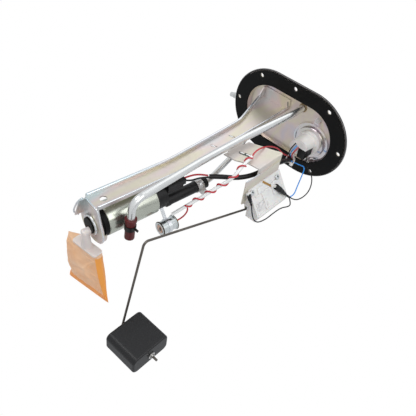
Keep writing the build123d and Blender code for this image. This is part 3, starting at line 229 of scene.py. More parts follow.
finishes["darkFerrite"] = paintedFinish("darkFerrite", (0.05, 0.05, 0.05), 0.6, 0.2, 700.0, 0.3)
finishes["windingCopper"] = paintedFinish("windingCopper", (0.35, 0.13, 0.05), 0.4, 0.3, 900.0, 0.4, metal=0.6)
finishes["slotShadow"] = paintedFinish("slotShadow", (0.10, 0.12, 0.11), 0.4, 0.4, 900.0, 0.2, metal=0.6)
finishes["cardCeramic"] = paintedFinish("cardCeramic", (0.62, 0.58, 0.45), 0.4, 0.1, 500.0, 0.1)

# The flange's rim outside the gasket is painted dark, painted shade and dark reflection at the plate's edge; its middle
# stays bright
flange = {"halfStraight": 30.0, "gasketReach": 61.2, "rimReach": 62.7, "rimShadeColour": (0.035, 0.034, 0.034, 1)}
rimFinish = finishes["zincFlange"]
flangeX = rimFinish.add("SeparateXYZ", Vector=rimFinish.place)
flangeY = Wave(rimFinish.tree, flangeX.socket.node.outputs[1])
pastStraight = (flangeX.join("ABSOLUTE") - flange["halfStraight"] * mm).join("MAXIMUM", 0.0)
reach = (pastStraight.power(2.0) + flangeY * flangeY).power(0.5)
bright = Wave(rimFinish.tree, rimFinish.shader.inputs["Base Color"].links[0].from_socket)
onShadedRim = reach.above(flange["gasketReach"] * mm)
rimFinish.put("Base Color", rimFinish.blend(onShadedRim, bright, flange["rimShadeColour"]))
print("finishes", len(finishes))

wears = {
    "flange_plate": "zincFlange", "flange_gasket": "gasketRubber", "channel_bracket": "zincPlate",
    "sender_bracket": "zincBracket", "return_tube": "drawnSteel", "outlet_tube": "drawnSteel",
    "braze_rings": "brazeGold", "return_hose": "hoseRed", "return_hose_clamp": "blackMoulding",
    "pump_shell": "shellMetal", "pump_cushion": "gasketRubber", "pump_inlet_cap": "gasketRubber",
    "pump_end_cap": "blackMoulding", "pump_plug": "blackMoulding", "outlet_hose": "hoseBlack",
    "outlet_hose_clamp": "brightSteel", "check_valve": "whiteMoulding", "valve_spring": "brightSteel",
    "armature": "windingCopper", "rotor_shaft": "brightSteel", "impeller": "darkFerrite",
    "pump_magnets": "darkFerrite", "pump_bearings": "blackMoulding", "pump_brushes": "darkFerrite",
    "strainer_neck": "milkMoulding", "strainer_sock": "whiteMoulding", "sensor_can": "canMetal",
    "sensor_cap": "canMetal", "sensor_terminal": "contactBrass", "thermistor_bead": "blackMoulding",
    "sensor_bracket": "highlightZinc", "sender_plate": "zincBracket", "sender_housing": "whiteMoulding",
    "resistor_card": "cardCeramic", "pivot_bush": "contactBrass", "wiper": "contactBrass",
    "sender_contact": "contactBrass", "sender_screws": "brightSteel", "float_arm": "armSteel",
    "float": "floatFoam", "float_nut": "brightSteel", "connector_retainer": "retainerMetal",
    "connector_body": "whiteMoulding", "connector_pins": "contactBrass", "connector_screws": "brightSteel",
    "ring_terminal": "brightSteel", "harness_plug": "blackMoulding", "boots": "wireBlack",
    "cable_tie": "whiteMoulding",
}
for node, finish in wears.items():
    nodes[node].data.materials.clear()
    nodes[node].data.materials.append(finishes[finish].material)
print("CAD nodes dressed")


# Gives a piece of the scene its finish and its body, and hides the part it replaces
def dress(piece, finish, body="base", replaces=None):
    piece.data.materials.append(finishes[finish].material)
    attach(piece, body)
    if replaces:
        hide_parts(replaces)


def lay(name, route):
    made = bpy.data.curves.new(name, "CURVE")
    made.dimensions = "3D"
    line = made.splines.new("NURBS")
    line.points.add(len(route) - 1)
    for point, spot in zip(line.points, route):
        point.co = (*[c * mm for c in spot], 1)
    line.order_u = 3
    line.use_endpoint_u = True
    line.resolution_u = 12
    return made


# Points along the curve that a route makes
def spineOf(route):
    bare = lay("spine", route)
    holder = bpy.data.objects.new("spine", bare)
    bpy.context.scene.collection.objects.link(holder)
    bpy.context.view_layer.update()
    sampled = bpy.data.meshes.new_from_object(holder)
    spots = [v.co.copy() for v in sampled.vertices]
    bpy.data.objects.remove(holder)
    bpy.data.meshes.remove(sampled)
    return spots


def lengthOf(spots):
    return sum((b - a).length for a, b in zip(spots[:-1], spots[1:]))


def layCord(name, values):
    made = lay(name, values["route"])
    made.bevel_depth = values["radius"] * mm
    made.bevel_resolution = 5
    made.use_fill_caps = True
    cord = bpy.data.objects.new(name, made)
    bpy.context.scene.collection.objects.link(cord)
    dress(cord, values["finish"], replaces=values["node"])
    exit = [c * mm for c in values["route"][0]]
    run = lengthOf(spineOf(values["route"]))
    2 * values["radius"] * mm
    print(name, round(run, 4))


# The leg of the channel, and all that it carries, leans away from the flange's axis below the knee
lean = math.radians(7.218)
kneeHeight = -203.7


def leg(x, y, h):
    rise = h - kneeHeight
    return (x * math.cos(lean) + rise * math.sin(lean), y, kneeHeight - x * math.sin(lean) + rise * math.cos(lean))


# Routes of the leads, as in the CAD model but for an end of pumpLeadBlack and two points of senderWireLink
tieSpot = (30.3, 34.2, -20.6)
barrelEnd = (49.11, 34.75, -4.14)
cords = {
    "leadSleeve": {
        "node": "lead_sleeve", "radius": 3.0, "finish": "wireBlack", "slot": "black_wire", "end": "object",
        "stiff": "medium",
        "route": [
            (6.5, 0, -166), (16, 0, -154.6), (27.5, 0, -144.5), (36, 0, -130.5), (39.6, 1, -114), (39.5, 4, -90),
            (37.5, 13, -60), tieSpot,
        ],
    },
    "pumpLeadRed": {
        "node": "pump_lead_red", "radius": 1.1, "finish": "wireRed", "slot": "red_wire", "end": "object",
        "stiff": "limp",
        "route": [
            leg(-12.1, -0.5, -194.75), (-8.6, -1, -184), (-4.8, -1.4, -176.5), (0.2, -1.4, -171), (5.2, -1.3, -167),
        ],
    },
    "pumpLeadBlack": {
        "node": "pump_lead_black", "radius": 1.1, "finish": "wireBlack", "slot": "black_wire", "end": "object",
        "stiff": "limp",
        "route": [
            leg(-8.1, -0.5, -194.75), (-3.4, 1.2, -187.5), (-1.4, 1.6, -178.5), (1.6, 1.3, -172.6), (6.3, 1.1, -166.2),
        ],
    },
    "sensorLeadSleeve": {
        "node": "sensor_lead_sleeve", "radius": 2.1, "finish": "clearSleeve", "slot": "clear_sleeve",
        "end": "bare", "stiff": "medium",
        "route": [
            leg(1.8, 34.6, -218.5), (8.3, 23.4, -199.5), (15.6, 14.6, -184.5), (20.6, 7.2, -172.5),
            (26.6, -1, -163.5), (32.6, -9, -157.5), (33.9, -17.6, -149.5), (32.2, -20.9, -135.4),
            (29.2, -20.7, -119.5),
        ],
    },
    "senderWireBlue": {
        "node": "sender_wire_blue", "radius": 0.75, "finish": "wireBlue", "slot": "blue_wire", "end": "object",
        "stiff": "medium",
        "route": [
            (34.3, 31.8, -25), (46, 31.4, -23.6), (56.6, 28.4, -24), (63, 31.6, -40), (69.4, 35.4, -58),
            (74.4, 39.8, -70.5), (73.1, 38.5, -78),
        ],
    },
    "senderWireBlack": {
        "node": "sender_wire_black", "radius": 0.75, "finish": "wireBlack", "slot": "black_wire", "end": "object",
        "stiff": "medium",
        "route": [
            barrelEnd, (54, 36.4, -12.5), (65, 38.6, -17), (74.2, 41.6, -27), (80.6, 45.2, -42), (81.8, 46, -59),
            (78.6, 44.2, -73), (74.5, 38.4, -78.8),
        ],
    },
    "senderWireLink": {
        "node": "sender_wire_link", "radius": 0.75, "finish": "wireBlack", "slot": "black_wire", "end": "object",
        "stiff": "medium",
        "route": [
            (74.1, 39.9, -79.6), (78.6, 45.6, -80.5), (79.4, 46.0, -86.8), (75.8, 42.8, -99), (74.8, 43.4, -115),
            (74.8, 44.6, -129), (71.4, 43.4, -145), (65, 32.4, -148), (59.8, 23.7, -144.4),
        ],
    },
    "connectorLeadBlack": {
        "node": "connector_lead_black", "radius": 0.75, "finish": "wireBlack", "slot": "black_wire",
        "end": "object", "stiff": "medium",
        "route": [(33.6, 2, -24.3), (32.6, 6, -31.5), (30, 18, -31.5), (29.54, 30.38, -19.72)],
    },
    "connectorLeadBlue": {
        "node": "connector_lead_blue", "radius": 0.75, "finish": "wireBlue", "slot": "blue_wire",
        "end": "object", "stiff": "medium",
        "route": [(36.2, 4, -24.3), (35.4, 8, -31), (32, 19, -30.4), (31.24, 30.36, -19.7)],
    },
    "connectorLeadRed": {
        "node": "connector_lead_red", "radius": 0.75, "finish": "wireRed", "slot": "red_wire", "end": "object",
        "stiff": "medium",
        "route": [(38.8, 6, -24.3), (38.2, 10, -30.4), (34.2, 20, -29.2), (32.94, 31.09, -20.1)],
    },
}
for name, values in cords.items():
    layCord(name, values)
print("cords laid", len(cords))


# A capped tube along the spots; its radius is a number, or a function of the share of the way
def tubeMesh(name, spots, radius, sides=10):
    made = bmesh.new()
    before = None
    side = Vector((0.3, 0.2, 1)).normalized()
    for index, spot in enumerate(spots):
        low = spots[max(index - 1, 0)]
        high = spots[min(index + 1, len(spots) - 1)]
        along = (high - low).normalized()
        side = (side - along * side.dot(along)).normalized()
        other = along.cross(side)
        width = radius(index / (len(spots) - 1)) if callable(radius) else radius
        ring = [
            made.verts.new(spot + (side * math.cos(a) + other * math.sin(a)) * width)
            for a in (2 * math.pi * k / sides for k in range(sides))
        ]
        if before:
            for k in range(sides):
                made.faces.new((before[k - 1], before[k], ring[k], ring[k - 1]))
        else:
            made.faces.new(ring)
        before = ring
    made.faces.new(list(reversed(before)))
    bmesh.ops.recalc_face_normals(made, faces=made.faces)
    mesh = bpy.data.meshes.new(name)
    made.to_mesh(mesh)
    made.free()
    piece = bpy.data.objects.new(name, mesh)
    bpy.context.scene.collection.objects.link(piece)
    for face in mesh.polygons:
        face.use_smooth = True
    return piece


# The same line with its points a step apart, and its own last point
def evenly(spots, step):
    out = [spots[0].copy()]
    need = step
    for a, b in zip(spots[:-1], spots[1:]):
        span = (b - a).length
        done = 0.0
        while span - done >= need:
            done += need
            out.append(a.lerp(b, done / span))
            need = step
        need -= span - done
    out.append(spots[-1].copy())
    return out


# The red wire winds round the white sleeve in long open turns
coil = {
    "radius": 0.95 * mm, "out": 3.05 * mm, "turns": 6.4, "start": 2.2, "low": 0.14, "high": 0.985,
    "joinSteps": 7, "joinPull": 0.6, "eases": 14, "easeBefore": 5, "easeAfter": 12, "tailCut": 4, "loopCut": 3,
    "sleeveStep": 0.7 * mm, "tailStep": 1.2 * mm, "loopStep": 1.5 * mm,
    "tail": [leg(5, 45.5, -211.7), leg(6.5, 43, -205.5), (9.4, 34, -202.8), (9.07, 25.7, -197.9)],
    "loop": [
        (29.4, -22.9, -121.5), (27, -23, -110.2), (25.4, -20, -94.4), (23.1, -9.6, -71.6), (23.2, 4.4, -49.6),
        (25.8, 18.5, -38), (27.84, 31.18, -20.14),
    ],
}


# The turns stand on a frame carried along the sleeve, between the shares "low" and "high" of its length
def windRound(spots):
    made = []
    side = Vector((0, 0, 1))
    total = lengthOf(spots)
    gone = 0.0
    for index, spot in enumerate(spots):
        if index:
            gone += (spot - spots[index - 1]).length
        share = gone / total
        low = spots[max(index - 1, 0)]
        high = spots[min(index + 1, len(spots) - 1)]
        along = (high - low).normalized()
        side = (side - along * side.dot(along)).normalized()
        other = along.cross(side)
        if coil["low"] <= share <= coil["high"]:
            turn = coil["start"] + 2 * math.pi * coil["turns"] * (share - coil["low"]) / (coil["high"] - coil["low"])
            made.append(spot + (side * math.cos(turn) + other * math.sin(turn)) * coil["out"])
    return made


# Points of a Bezier curve that joins two stretches of wire
def eased(first, second):
    start = first[-1]
    end = second[0]
    pull = (end - start).length * coil["joinPull"]
    out = (start - first[-2]).normalized() * pull
    back = (second[1] - end).normalized() * pull
    made = []
    for k in range(1, coil["joinSteps"]):
        t = k / coil["joinSteps"]
        made.append(
            start * (1 - t) ** 3 + (start + out) * 3 * t * (1 - t) ** 2 + (end - back) * 3 * t * t * (1 - t)
            + end * t ** 3
        )
    return made


wound = windRound(evenly(spineOf(cords["sensorLeadSleeve"]["route"]), coil["sleeveStep"]))
tailLine = evenly(spineOf(coil["tail"]), coil["tailStep"])[:-coil["tailCut"]]
loopLine = evenly(spineOf(coil["loop"]), coil["loopStep"])[coil["loopCut"]:]
wirePath = tailLine + eased(tailLine, wound) + wound + eased(wound, loopLine) + loopLine
secondJoin = len(tailLine) + coil["joinSteps"] - 1 + len(wound)
for joint in (len(tailLine), secondJoin):
    for _ in range(coil["eases"]):
        for k in range(joint - coil["easeBefore"], joint + coil["easeAfter"]):
            wirePath[k] = (wirePath[k - 1] + wirePath[k] * 2 + wirePath[k + 1]) / 4
sensorWire = tubeMesh("sensorWire", wirePath, coil["radius"])
dress(sensorWire, "wireRed", replaces="sensor_wire")
lengthOf(wirePath)
2 * coil["radius"]
print("sensor wire", round(lengthOf(wirePath), 4))


# Strainer sock: a pouch of woven nylon, welded flat along its sides and far edge, its mouth closed round the neck
sock = {
    "near": 48.3, "far": 120.9, "nearMid": -27.6, "farMid": -17.7, "nearHeight": -319.7, "farHeight": -322.4,
    "nearWide": 52.0, "farWide": 64.4, "nearThick": 13.6, "farThick": 1.2, "nearTurn": 11.0, "farTurn": 14.3,
    "seam": 0.11, "rows": 60, "around": 120, "waist": 3.8, "waistAt": 0.76, "waistLong": 0.13, "puff": 5.0,
    "mouthLong": 0.12, "leftPinch": 0.5, "rightPinch": 0.03, "stripFrom": 0.84, "stripEnds": 0.06, "mouthHeld": 0.04,
    "square": 0.7, "edgeRise": 0.6, "flatShare": 0.35,
}


# A point of the pouch: across is its share of the way round, t its share of the way from neck to far edge
def sockPoint(across, t):
    wide = sock["nearWide"] + (sock["farWide"] - sock["nearWide"]) * t
    thick = sock["nearThick"] * (1 - t) ** 0.8 + sock["farThick"] * t + sock["puff"] * math.sin(math.pi * t) ** 1.2
    mid = sock["nearMid"] + (sock["farMid"] - sock["nearMid"]) * t
    height = sock["nearHeight"] + (sock["farHeight"] - sock["nearHeight"]) * t
    turn = math.radians(sock["nearTurn"] + (sock["farTurn"] - sock["nearTurn"]) * t)
    angle = 2 * math.pi * across
    c, s = math.cos(angle), math.sin(angle)
    share = math.copysign(abs(c) ** sock["square"], c)
    edge = min(1.0, (1 - abs(share)) / sock["seam"])
    mouth = max(0.0, 1 - t / sock["mouthLong"])
    pinch = sock["leftPinch"] if share < 0 else sock["rightPinch"]
    fullness = edge ** sock["edgeRise"] * (1 - mouth) + mouth * min(1.0, (1 - abs(share)) / pinch)
    x = wide / 2 * share
    if share < 0:
        x += sock["waist"] * abs(share) * math.exp(-((t - sock["waistAt"]) / sock["waistLong"]) ** 2)
    dome = sock["flatShare"] + (1 - sock["flatShare"]) * abs(s) ** sock["edgeRise"]
    lift = thick / 2 * math.copysign(1, s) * fullness * dome
    spot = leg(mid + x * math.cos(turn) - lift * math.sin(turn), 0, height + x * math.sin(turn) + lift * math.cos(turn))
    return Vector((spot[0], sock["near"] + (sock["far"] - sock["near"]) * t, spot[2])) * mm


def sewSock():
    made = bmesh.new()
    rows = []
    for j in range(sock["rows"] + 1):
        t = j / sock["rows"]
        rows.append([made.verts.new(sockPoint((k + 0.5) / sock["around"], t)) for k in range(sock["around"])])
    for a, b in zip(rows[:-1], rows[1:]):
        for k in range(sock["around"]):
            made.faces.new((a[k - 1], a[k], b[k], b[k - 1]))
    middle = made.verts.new(sum((v.co for v in rows[0]), Vector()) / sock["around"])
    for k in range(sock["around"]):
        made.faces.new((rows[0][k], rows[0][k - 1], middle))
    bmesh.ops.recalc_face_normals(made, faces=made.faces)
    mesh = bpy.data.meshes.new("strainerSock")
    made.to_mesh(mesh)
    made.free()
    piece = bpy.data.objects.new("strainerSock", mesh)
    bpy.context.scene.collection.objects.link(piece)
    welded = piece.vertex_groups.new(name="welded")
    strips = []
    held = []
    for index in range(len(mesh.vertices)):
        t = (index // sock["around"]) / sock["rows"] if index < len(mesh.vertices) - 1 else 0.0
        c = math.cos(2 * math.pi * (index % sock["around"] + 0.5) / sock["around"])
        strip = abs(c) ** sock["square"] > 1 - sock["seam"] or t > sock["stripFrom"]
        strips.append(1.0 if strip and t > sock["stripEnds"] else 0.0)
        if strip or t < sock["mouthHeld"]:
            held.append(index)
    welded.add(held, 1.0, "REPLACE")
    mesh.attributes.new("seam", "FLOAT", "POINT").data.foreach_set("value", strips)
    for face in mesh.polygons:
        face.use_smooth = True
    return piece


# The cloth wrinkles under slight pressure; it grows by 5 %, and no point may move further than "reach"
puff = {
    "quality": 6, "mass": 0.15, "stiffness": 25, "bending": 0.4, "pressure": 2.0, "shrink": -0.05, "frames": 16,
    "reach": 3.5 * mm,
}


def puffSock(piece):
    rest = [v.co.copy() for v in piece.data.vertices]
    cloth = piece.modifiers.new("cloth", "CLOTH")
    cloth.settings.quality = puff["quality"]
    cloth.settings.mass = puff["mass"]
    cloth.settings.tension_stiffness = puff["stiffness"]
    cloth.settings.compression_stiffness = puff["stiffness"]
    cloth.settings.bending_stiffness = puff["bending"]
    cloth.settings.vertex_group_mass = "welded"
    cloth.settings.use_pressure = True
    cloth.settings.uniform_pressure_force = puff["pressure"]
    cloth.settings.effector_weights.gravity = 0
    cloth.settings.shrink_min = puff["shrink"]
    cloth.point_cache.frame_start = 1
    cloth.point_cache.frame_end = puff["frames"]
    for step in range(1, puff["frames"] + 1):
        bpy.context.scene.frame_set(step)
    shaped = piece.evaluated_get(bpy.context.evaluated_depsgraph_get())
    spots = [v.co.copy() for v in shaped.data.vertices]
    piece.modifiers.remove(cloth)
    for vertex, old, new in zip(piece.data.vertices, rest, spots):
        move = new - old
        if move.length > puff["reach"]:
            move = move.normalized() * puff["reach"]
        vertex.co = old + move
    bpy.context.scene.frame_set(1)


sockCloth = Finish("sockCloth", (0.72, 0.40, 0.16), 0.5, sheen=0.3)
threads = 420.0
warp, weft = (
    sockCloth.add("TexWave", {"wave_type": "BANDS", "bands_direction": way}, Vector=sockCloth.place, Scale=threads)
    for way in "XY"
)
patch = sockCloth.grain(40.0, 2.0)
welds = sockCloth.add("Attribute", {"attribute_name": "seam"}, out="Fac")
body = sockCloth.ramp(patch, (0.35, (0.92, 0.62, 0.36)), (0.65, (0.93, 0.72, 0.52)))
sockCloth.put("Base Color", sockCloth.blend(welds, body, (0.95, 0.44, 0.08, 1)))
sockCloth.bump(warp + weft, 0.25, 0.0002)
glow = sockCloth.add("BsdfTranslucent", Color=sockCloth.blend(welds, body, (1.0, 0.52, 0.10, 1)))
lit = sockCloth.add("MixShader", s0=0.35, s1=Wave(sockCloth.tree, sockCloth.shader.outputs[0]), s2=glow)
sockCloth.tree.links.new(lit.socket, sockCloth.tree.nodes["Material Output"].inputs["Surface"])
sockPiece = sewSock()
puffSock(sockPiece)
soften = sockPiece.modifiers.new("soften", "SUBSURF")
soften.levels = 1
soften.render_levels = 1
sockPiece.data.materials.append(sockCloth.material)
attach(sockPiece, "base")
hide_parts("strainer_sock")
print("sock sewn")


# Small raised pads: each part is a superellipse, square = 1 for a round one, drawn in a little towards its top
def plaque(name, values, finish):
    made = bmesh.new()
    sides = values.get("sides", 20)
    drawnIn = 0.94
    across = Vector(values["across"]).normalized()
    out = Vector(values["out"]).normalized()
    up = out.cross(across).normalized()
    for part in values["parts"]:
        ring = []
        for k in range(sides):
            angle = 2 * math.pi * k / sides
            c, t = math.cos(angle), math.sin(angle)
            ring.append((
                math.copysign(abs(c) ** values["square"], c) * part["wide"] / 2,
                math.copysign(abs(t) ** values["square"], t) * part["tall"] / 2,
            ))
        base = Vector(part["at"]) * mm
        low = [made.verts.new(base + (across * a + up * b) * mm) for a, b in ring]
        high = [
            made.verts.new(base + (across * a * drawnIn + up * b * drawnIn + out * part["thick"]) * mm)
            for a, b in ring
        ]
        made.faces.new(list(reversed(low)))
        made.faces.new(high)
        for k in range(sides):
            made.faces.new((low[k - 1], low[k], high[k], high[k - 1]))
    bmesh.ops.recalc_face_normals(made, faces=made.faces)
    tops = [edge for edge in made.edges if len(edge.link_faces) == 2 and edge.calc_face_angle(0) > 1.0]
    bmesh.ops.bevel(
        made, geom=tops, offset=values["bevel"] * mm, affect="EDGES", segments=2, profile=0.5, material=-1,
    )
    mesh = bpy.data.meshes.new(name)
    made.to_mesh(mesh)
    made.free()
    for face in mesh.polygons:
        face.use_smooth = True
    piece = bpy.data.objects.new(name, mesh)
    bpy.context.scene.collection.objects.link(piece)
    dress(piece, finish)


# Pressed slot in the sender bracket, drawn as a thin dark pad of painted shade, with its two curled tongues
bracketAcross = (0.95, 0, 0.31)
plaque("bracketSlotShade", {
    "across": bracketAcross, "out": (0, -1, 0), "square": 0.5, "bevel": 0.08,
    "parts": [{"at": (18.5, -16.0, -116.6), "wide": 18.0, "tall": 5.4, "thick": 0.25}],
}, "slotShadow")
plaque("bracketTongues", {
    "across": bracketAcross, "out": (0, -1, 0), "square": 0.6, "bevel": 0.3,
    "parts": [
        {"at": (14.4, -16.2, -118.9), "wide": 6.4, "tall": 1.9, "thick": 1.6},
        {"at": (22.4, -16.2, -116.2), "wide": 6.8, "tall": 1.9, "thick": 1.6},
    ],
}, "chromeSteel")

# Rolled edges of the channel and its foot, the sender bracket's edge and the cable tie's loop; all but the loop wear
# the whiter zinc, a painted highlight along the edges
rolled = {
    "leftLip": {"radius": 1.7, "route": [
        (-48.6, -21.4, -6), (-45.2, -21.4, -18), (-33.5, -21.4, -56.5), (-29.0, -21.3, -72), (-28.8, -21.3, -92),
        (-28.8, -21.3, -195), leg(-28.8, -21.3, -214), leg(-28.8, -21.3, -312.6),
    ]},
    "rightLip": {"radius": 1.1, "route": [
        (-5.7, -22.0, -5), (-5.7, -22.0, -92), (-5.7, -22.0, -195), leg(-5.7, -22.0, -214), leg(-5.7, -22.0, -312.8),
    ]},
    "endFold": {"radius": 0.9, "route": [
        leg(-29.2, -17.2, -313.6), leg(-17, -17.3, -313.7), leg(-6.2, -17.3, -313.6), leg(-4.3, -13.5, -313.5),
        leg(4.2, 12.6, -313.4), leg(4.6, 20, -313.4), leg(0.6, 27.4, -313.4), leg(-3.6, 31, -313.4),
    ]},
    "tieLoop": {"radius": 0.85, "route": [
        (27.4, 30.4, -27.5), (26.2, 29.6, -21.5), (28.6, 29.0, -16.2), (34.0, 29.4, -17.0), (38.2, 30.6, -22.0),
        (39.2, 32.2, -27.6),
    ], "finish": "whiteMoulding", "slot": "white_plastic"},
    "plateEdge": {"radius": 0.7, "route": [
        (47.6, -7.9, -122.0), (47.6, -7.9, -133.5), (47.6, -8.4, -141.0), (47.6, -9.1, -148.4),
    ]},
    "flapEdge": {"radius": 1.0, "route": [
        leg(-29.0, -18.6, -317.5), leg(-33.2, -12.6, -320.8), leg(-39.4, -0.5, -320.8), leg(-44.0, 9.6, -320.8),
        leg(-43.8, 14.2, -320.2), leg(-39.8, 14.6, -317.0),
    ]},
}

# Rings round the leaning pieces: the pump's collar, the can's two rims and the turns of the hose clamp
canX, canY = 5.0, 45.5
portX, portY = -9.5, 20.0
rings = {
    "collarRing": {
        "x": -18.5, "y": 13.5, "low": -314.9, "rise": 0, "radius": 11.3, "thick": 1.5, "turns": 1,
        "finish": "chromeSteel", "slot": "zinc_plate",
    },
    "canRimLow": {
        "x": canX, "y": canY, "low": -237.2, "rise": 0, "radius": 8.2, "thick": 0.8, "turns": 1,
        "finish": "agedBrass", "slot": "can_metal",
    },
    "canRimHigh": {
        "x": canX, "y": canY, "low": -216.9, "rise": 0, "radius": 8.8, "thick": 0.6, "turns": 1,
        "finish": "agedBrass", "slot": "can_metal",
    },
    "clampTurns": {
        "x": portX, "y": portY, "low": -173.6, "rise": 4.6, "radius": 7.7, "thick": 0.7, "turns": 2.8,
        "finish": "chromeSteel", "slot": "clamp_steel",
    },
}


def ringRound(values):
    steps = round(72 * values["turns"])
    spots = []
    for k in range(steps):
        angle = 2 * math.pi * values["turns"] * k / (steps - 1)
        height = values["low"] + values["rise"] * k / (steps - 1)
        across = values["radius"] * math.cos(angle)
        spots.append(Vector(leg(values["x"] + across, values["y"] + values["radius"] * math.sin(angle), height)) * mm)
    return spots


# The check valve's spring
spring = {
    "x": portX, "y": portY, "low": -215.2, "rise": 9.3, "radius": 2.2, "thick": 0.25, "turns": 4.65, "travel": 2.0,
}
springWire = tubeMesh("springWire", ringRound(spring), spring["thick"] * mm, 8)
dress(springWire, "brightSteel", replaces="valve_spring")
springTop = Vector(leg(spring["x"], spring["y"], spring["low"] + spring["rise"] + spring["thick"])) * mm
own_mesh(springWire)
for name, values in rings.items():
    ring = tubeMesh(name, ringRound(values), values["thick"] * mm, 12)
    dress(ring, values["finish"])

for name, values in rolled.items():
    edge = tubeMesh(name, evenly(spineOf(values["route"]), 1.5 * mm), values["radius"] * mm, 12)
    dress(edge, values.get("finish", "highlightZinc"))

# Shrink boots, full at their terminals and drawn in on the wires, with faint ridges
shrunk = {
    "rightBoot": {
        "wide": 3.7, "thin": 1.4,
        "route": [(60.4, 17.4, -98.6), (64.6, 24.4, -92.4), (69.0, 31.8, -85.6), (73.4, 39.0, -79.0)],
    },
    "leftBoot": {
        "wide": 2.6, "thin": 1.2,
        "route": [(51.6, 9.6, -143.9), (54.4, 14.4, -144.2), (57.2, 19.3, -144.2), (59.6, 23.3, -144.2)],
    },
}
neck = {"from": 0.25, "long": 0.5, "ridge": 0.12, "ridges": 31}


def bootRadius(values, t):
    drawn = min(1.0, max(0.0, (t - neck["from"]) / neck["long"])) ** 1.5
    ridge = neck["ridge"] * math.sin(neck["ridges"] * t)
    return mm * (values["thin"] + (values["wide"] - values["thin"]) * (1 - drawn) + ridge)


for name, values in shrunk.items():
    line = evenly(spineOf(values["route"]), 0.8 * mm)
    boot = tubeMesh(name, line, lambda t: bootRadius(values, t), 16)
    dress(boot, "wireBlack", replaces="boots")

# Washers of the sender's screws, dark pads of painted shade for their slots, and the steps of its moulded housing, all
# on its slanting face
slopeFoot = Vector((48.5, 7.5, 0))
slopeOut = Vector((31.0, -21.5, 0)).normalized()
slopeAlong = Vector((21.5, 31.0, 0)).normalized()


def onSlope(along, height, lift=0.0):
    return tuple(slopeFoot + Vector((0, 0, height)) + slopeAlong * along + slopeOut * lift)


plaque("screwWashers", {
    "across": slopeAlong, "out": slopeOut, "square": 1.0, "bevel": 0.2, "sides": 32,
    "parts": [
        {"at": onSlope(6.7, -88.4, 1.7), "wide": 7.4, "tall": 7.4, "thick": 0.5},
        {"at": onSlope(5.0, -137.7, 1.7), "wide": 7.0, "tall": 7.0, "thick": 0.5},
    ],
}, "chromeSteel")
plaque("screwRecessShade", {
    "across": slopeAlong + Vector((0, 0, 0.6)), "out": slopeOut, "square": 0.8, "bevel": 0.1,
    "parts": [
        {"at": onSlope(6.1, -88.0, 2.3), "wide": 3.6, "tall": 1.5, "thick": 0.3},
        {"at": onSlope(4.4, -137.3, 2.3), "wide": 3.4, "tall": 1.5, "thick": 0.3},
    ],
}, "slotShadow")
plaque("housingSteps", {
    "across": slopeAlong, "out": slopeOut, "square": 0.25, "bevel": 0.5, "sides": 28,
    "parts": [
        {"at": onSlope(17.0, -93.5), "wide": 17.0, "tall": 19.0, "thick": 1.6},
        {"at": onSlope(8.6, -122.0), "wide": 9.0, "tall": 12.0, "thick": 1.2},
        {"at": onSlope(27.0, -126.0), "wide": 10.0, "tall": 22.0, "thick": 0.5},
    ],
}, "whiteMoulding")

# Copper contact ring in the can's end, and a dark disc of painted shade for the bore in its middle
canAcross = (math.cos(lean), 0, -math.sin(lean))
canDown = (-math.sin(lean), 0, -math.cos(lean))
plaque("canContact", {
    "across": canAcross, "out": canDown, "square": 1.0, "bevel": 0.1, "sides": 32,
    "parts": [{"at": leg(canX, canY, -238.0), "wide": 11.0, "tall": 11.0, "thick": 0.3}],
}, "copperDisc")
plaque("canBoreShade", {
    "across": canAcross, "out": canDown, "square": 1.0, "bevel": 0.05, "sides": 32,
    "parts": [{"at": leg(6.4, 44.6, -238.3), "wide": 4.6, "tall": 6.2, "thick": 0.1}],
}, "slotShadow")

# Raised tongues at the web's slots, the tie's head, and a dark strip of painted shadow along the tab's end
plaque("webTongues", {
    "across": (0.94, 0, 0.34), "out": (0, -1, 0), "square": 0.6, "bevel": 0.3,
    "parts": [
        {"at": (-16.4, -17.4, -137.6), "wide": 6.0, "tall": 1.7, "thick": 0.9},
        {"at": (-15.4, -17.4, -105.1), "wide": 6.0, "tall": 1.7, "thick": 0.9},
    ],
}, "chromeSteel")
plaque("tieHead", {
    "across": (1, 0.2, 0), "out": (0, -1, -0.2), "square": 0.4, "bevel": 0.4,
    "parts": [{"at": (38.6, 33.0, -30.4), "wide": 4.6, "tall": 4.4, "thick": 2.6}],
}, "whiteMoulding")
plaque("tabEndShadow", {
    "across": (0.28, 0.96, 0), "out": (0, 0, -1), "square": 0.4, "bevel": 0.15,
    "parts": [{"at": (-7.0, -23.8, 2.5), "wide": 12.0, "tall": 1.3, "thick": 0.4}],
}, "slotShadow")

# Rounded edge of the flange outside its gasket, in a darkened steel that is painted shade like the rim
rim = {"steps": 160, "height": -0.1, "radius": 0.45}
rimLine = []
for k in range(rim["steps"] + 1):
    angle = 2 * math.pi * k / rim["steps"]
    x, y = flange["rimReach"] * math.cos(angle), flange["rimReach"] * math.sin(angle)
    rimLine.append(Vector((x + math.copysign(flange["halfStraight"], x), y, rim["height"])) * mm)
rimEdge = tubeMesh("rimEdge", rimLine, rim["radius"] * mm, 8)
dress(rimEdge, "rimShadeSteel")

# Terminal wells on the connector's inner face
plaque("connectorWells", {
    "across": (0.82, -0.57, 0), "out": (0, 0, -1), "square": 0.35, "bevel": 0.2,
    "parts": [
        {"at": (33.6, 2.0, -24.0), "wide": 3.4, "tall": 3.0, "thick": 0.8},
        {"at": (36.2, 4.0, -24.0), "wide": 2.8, "tall": 2.6, "thick": 0.8},
        {"at": (31.0, 8.4, -24.0), "wide": 4.2, "tall": 3.2, "thick": 0.6},
        {"at": (34.2, 11.2, -24.0), "wide": 4.0, "tall": 3.4, "thick": 0.6},
    ],
}, "whiteMoulding")
print("small dressings made")


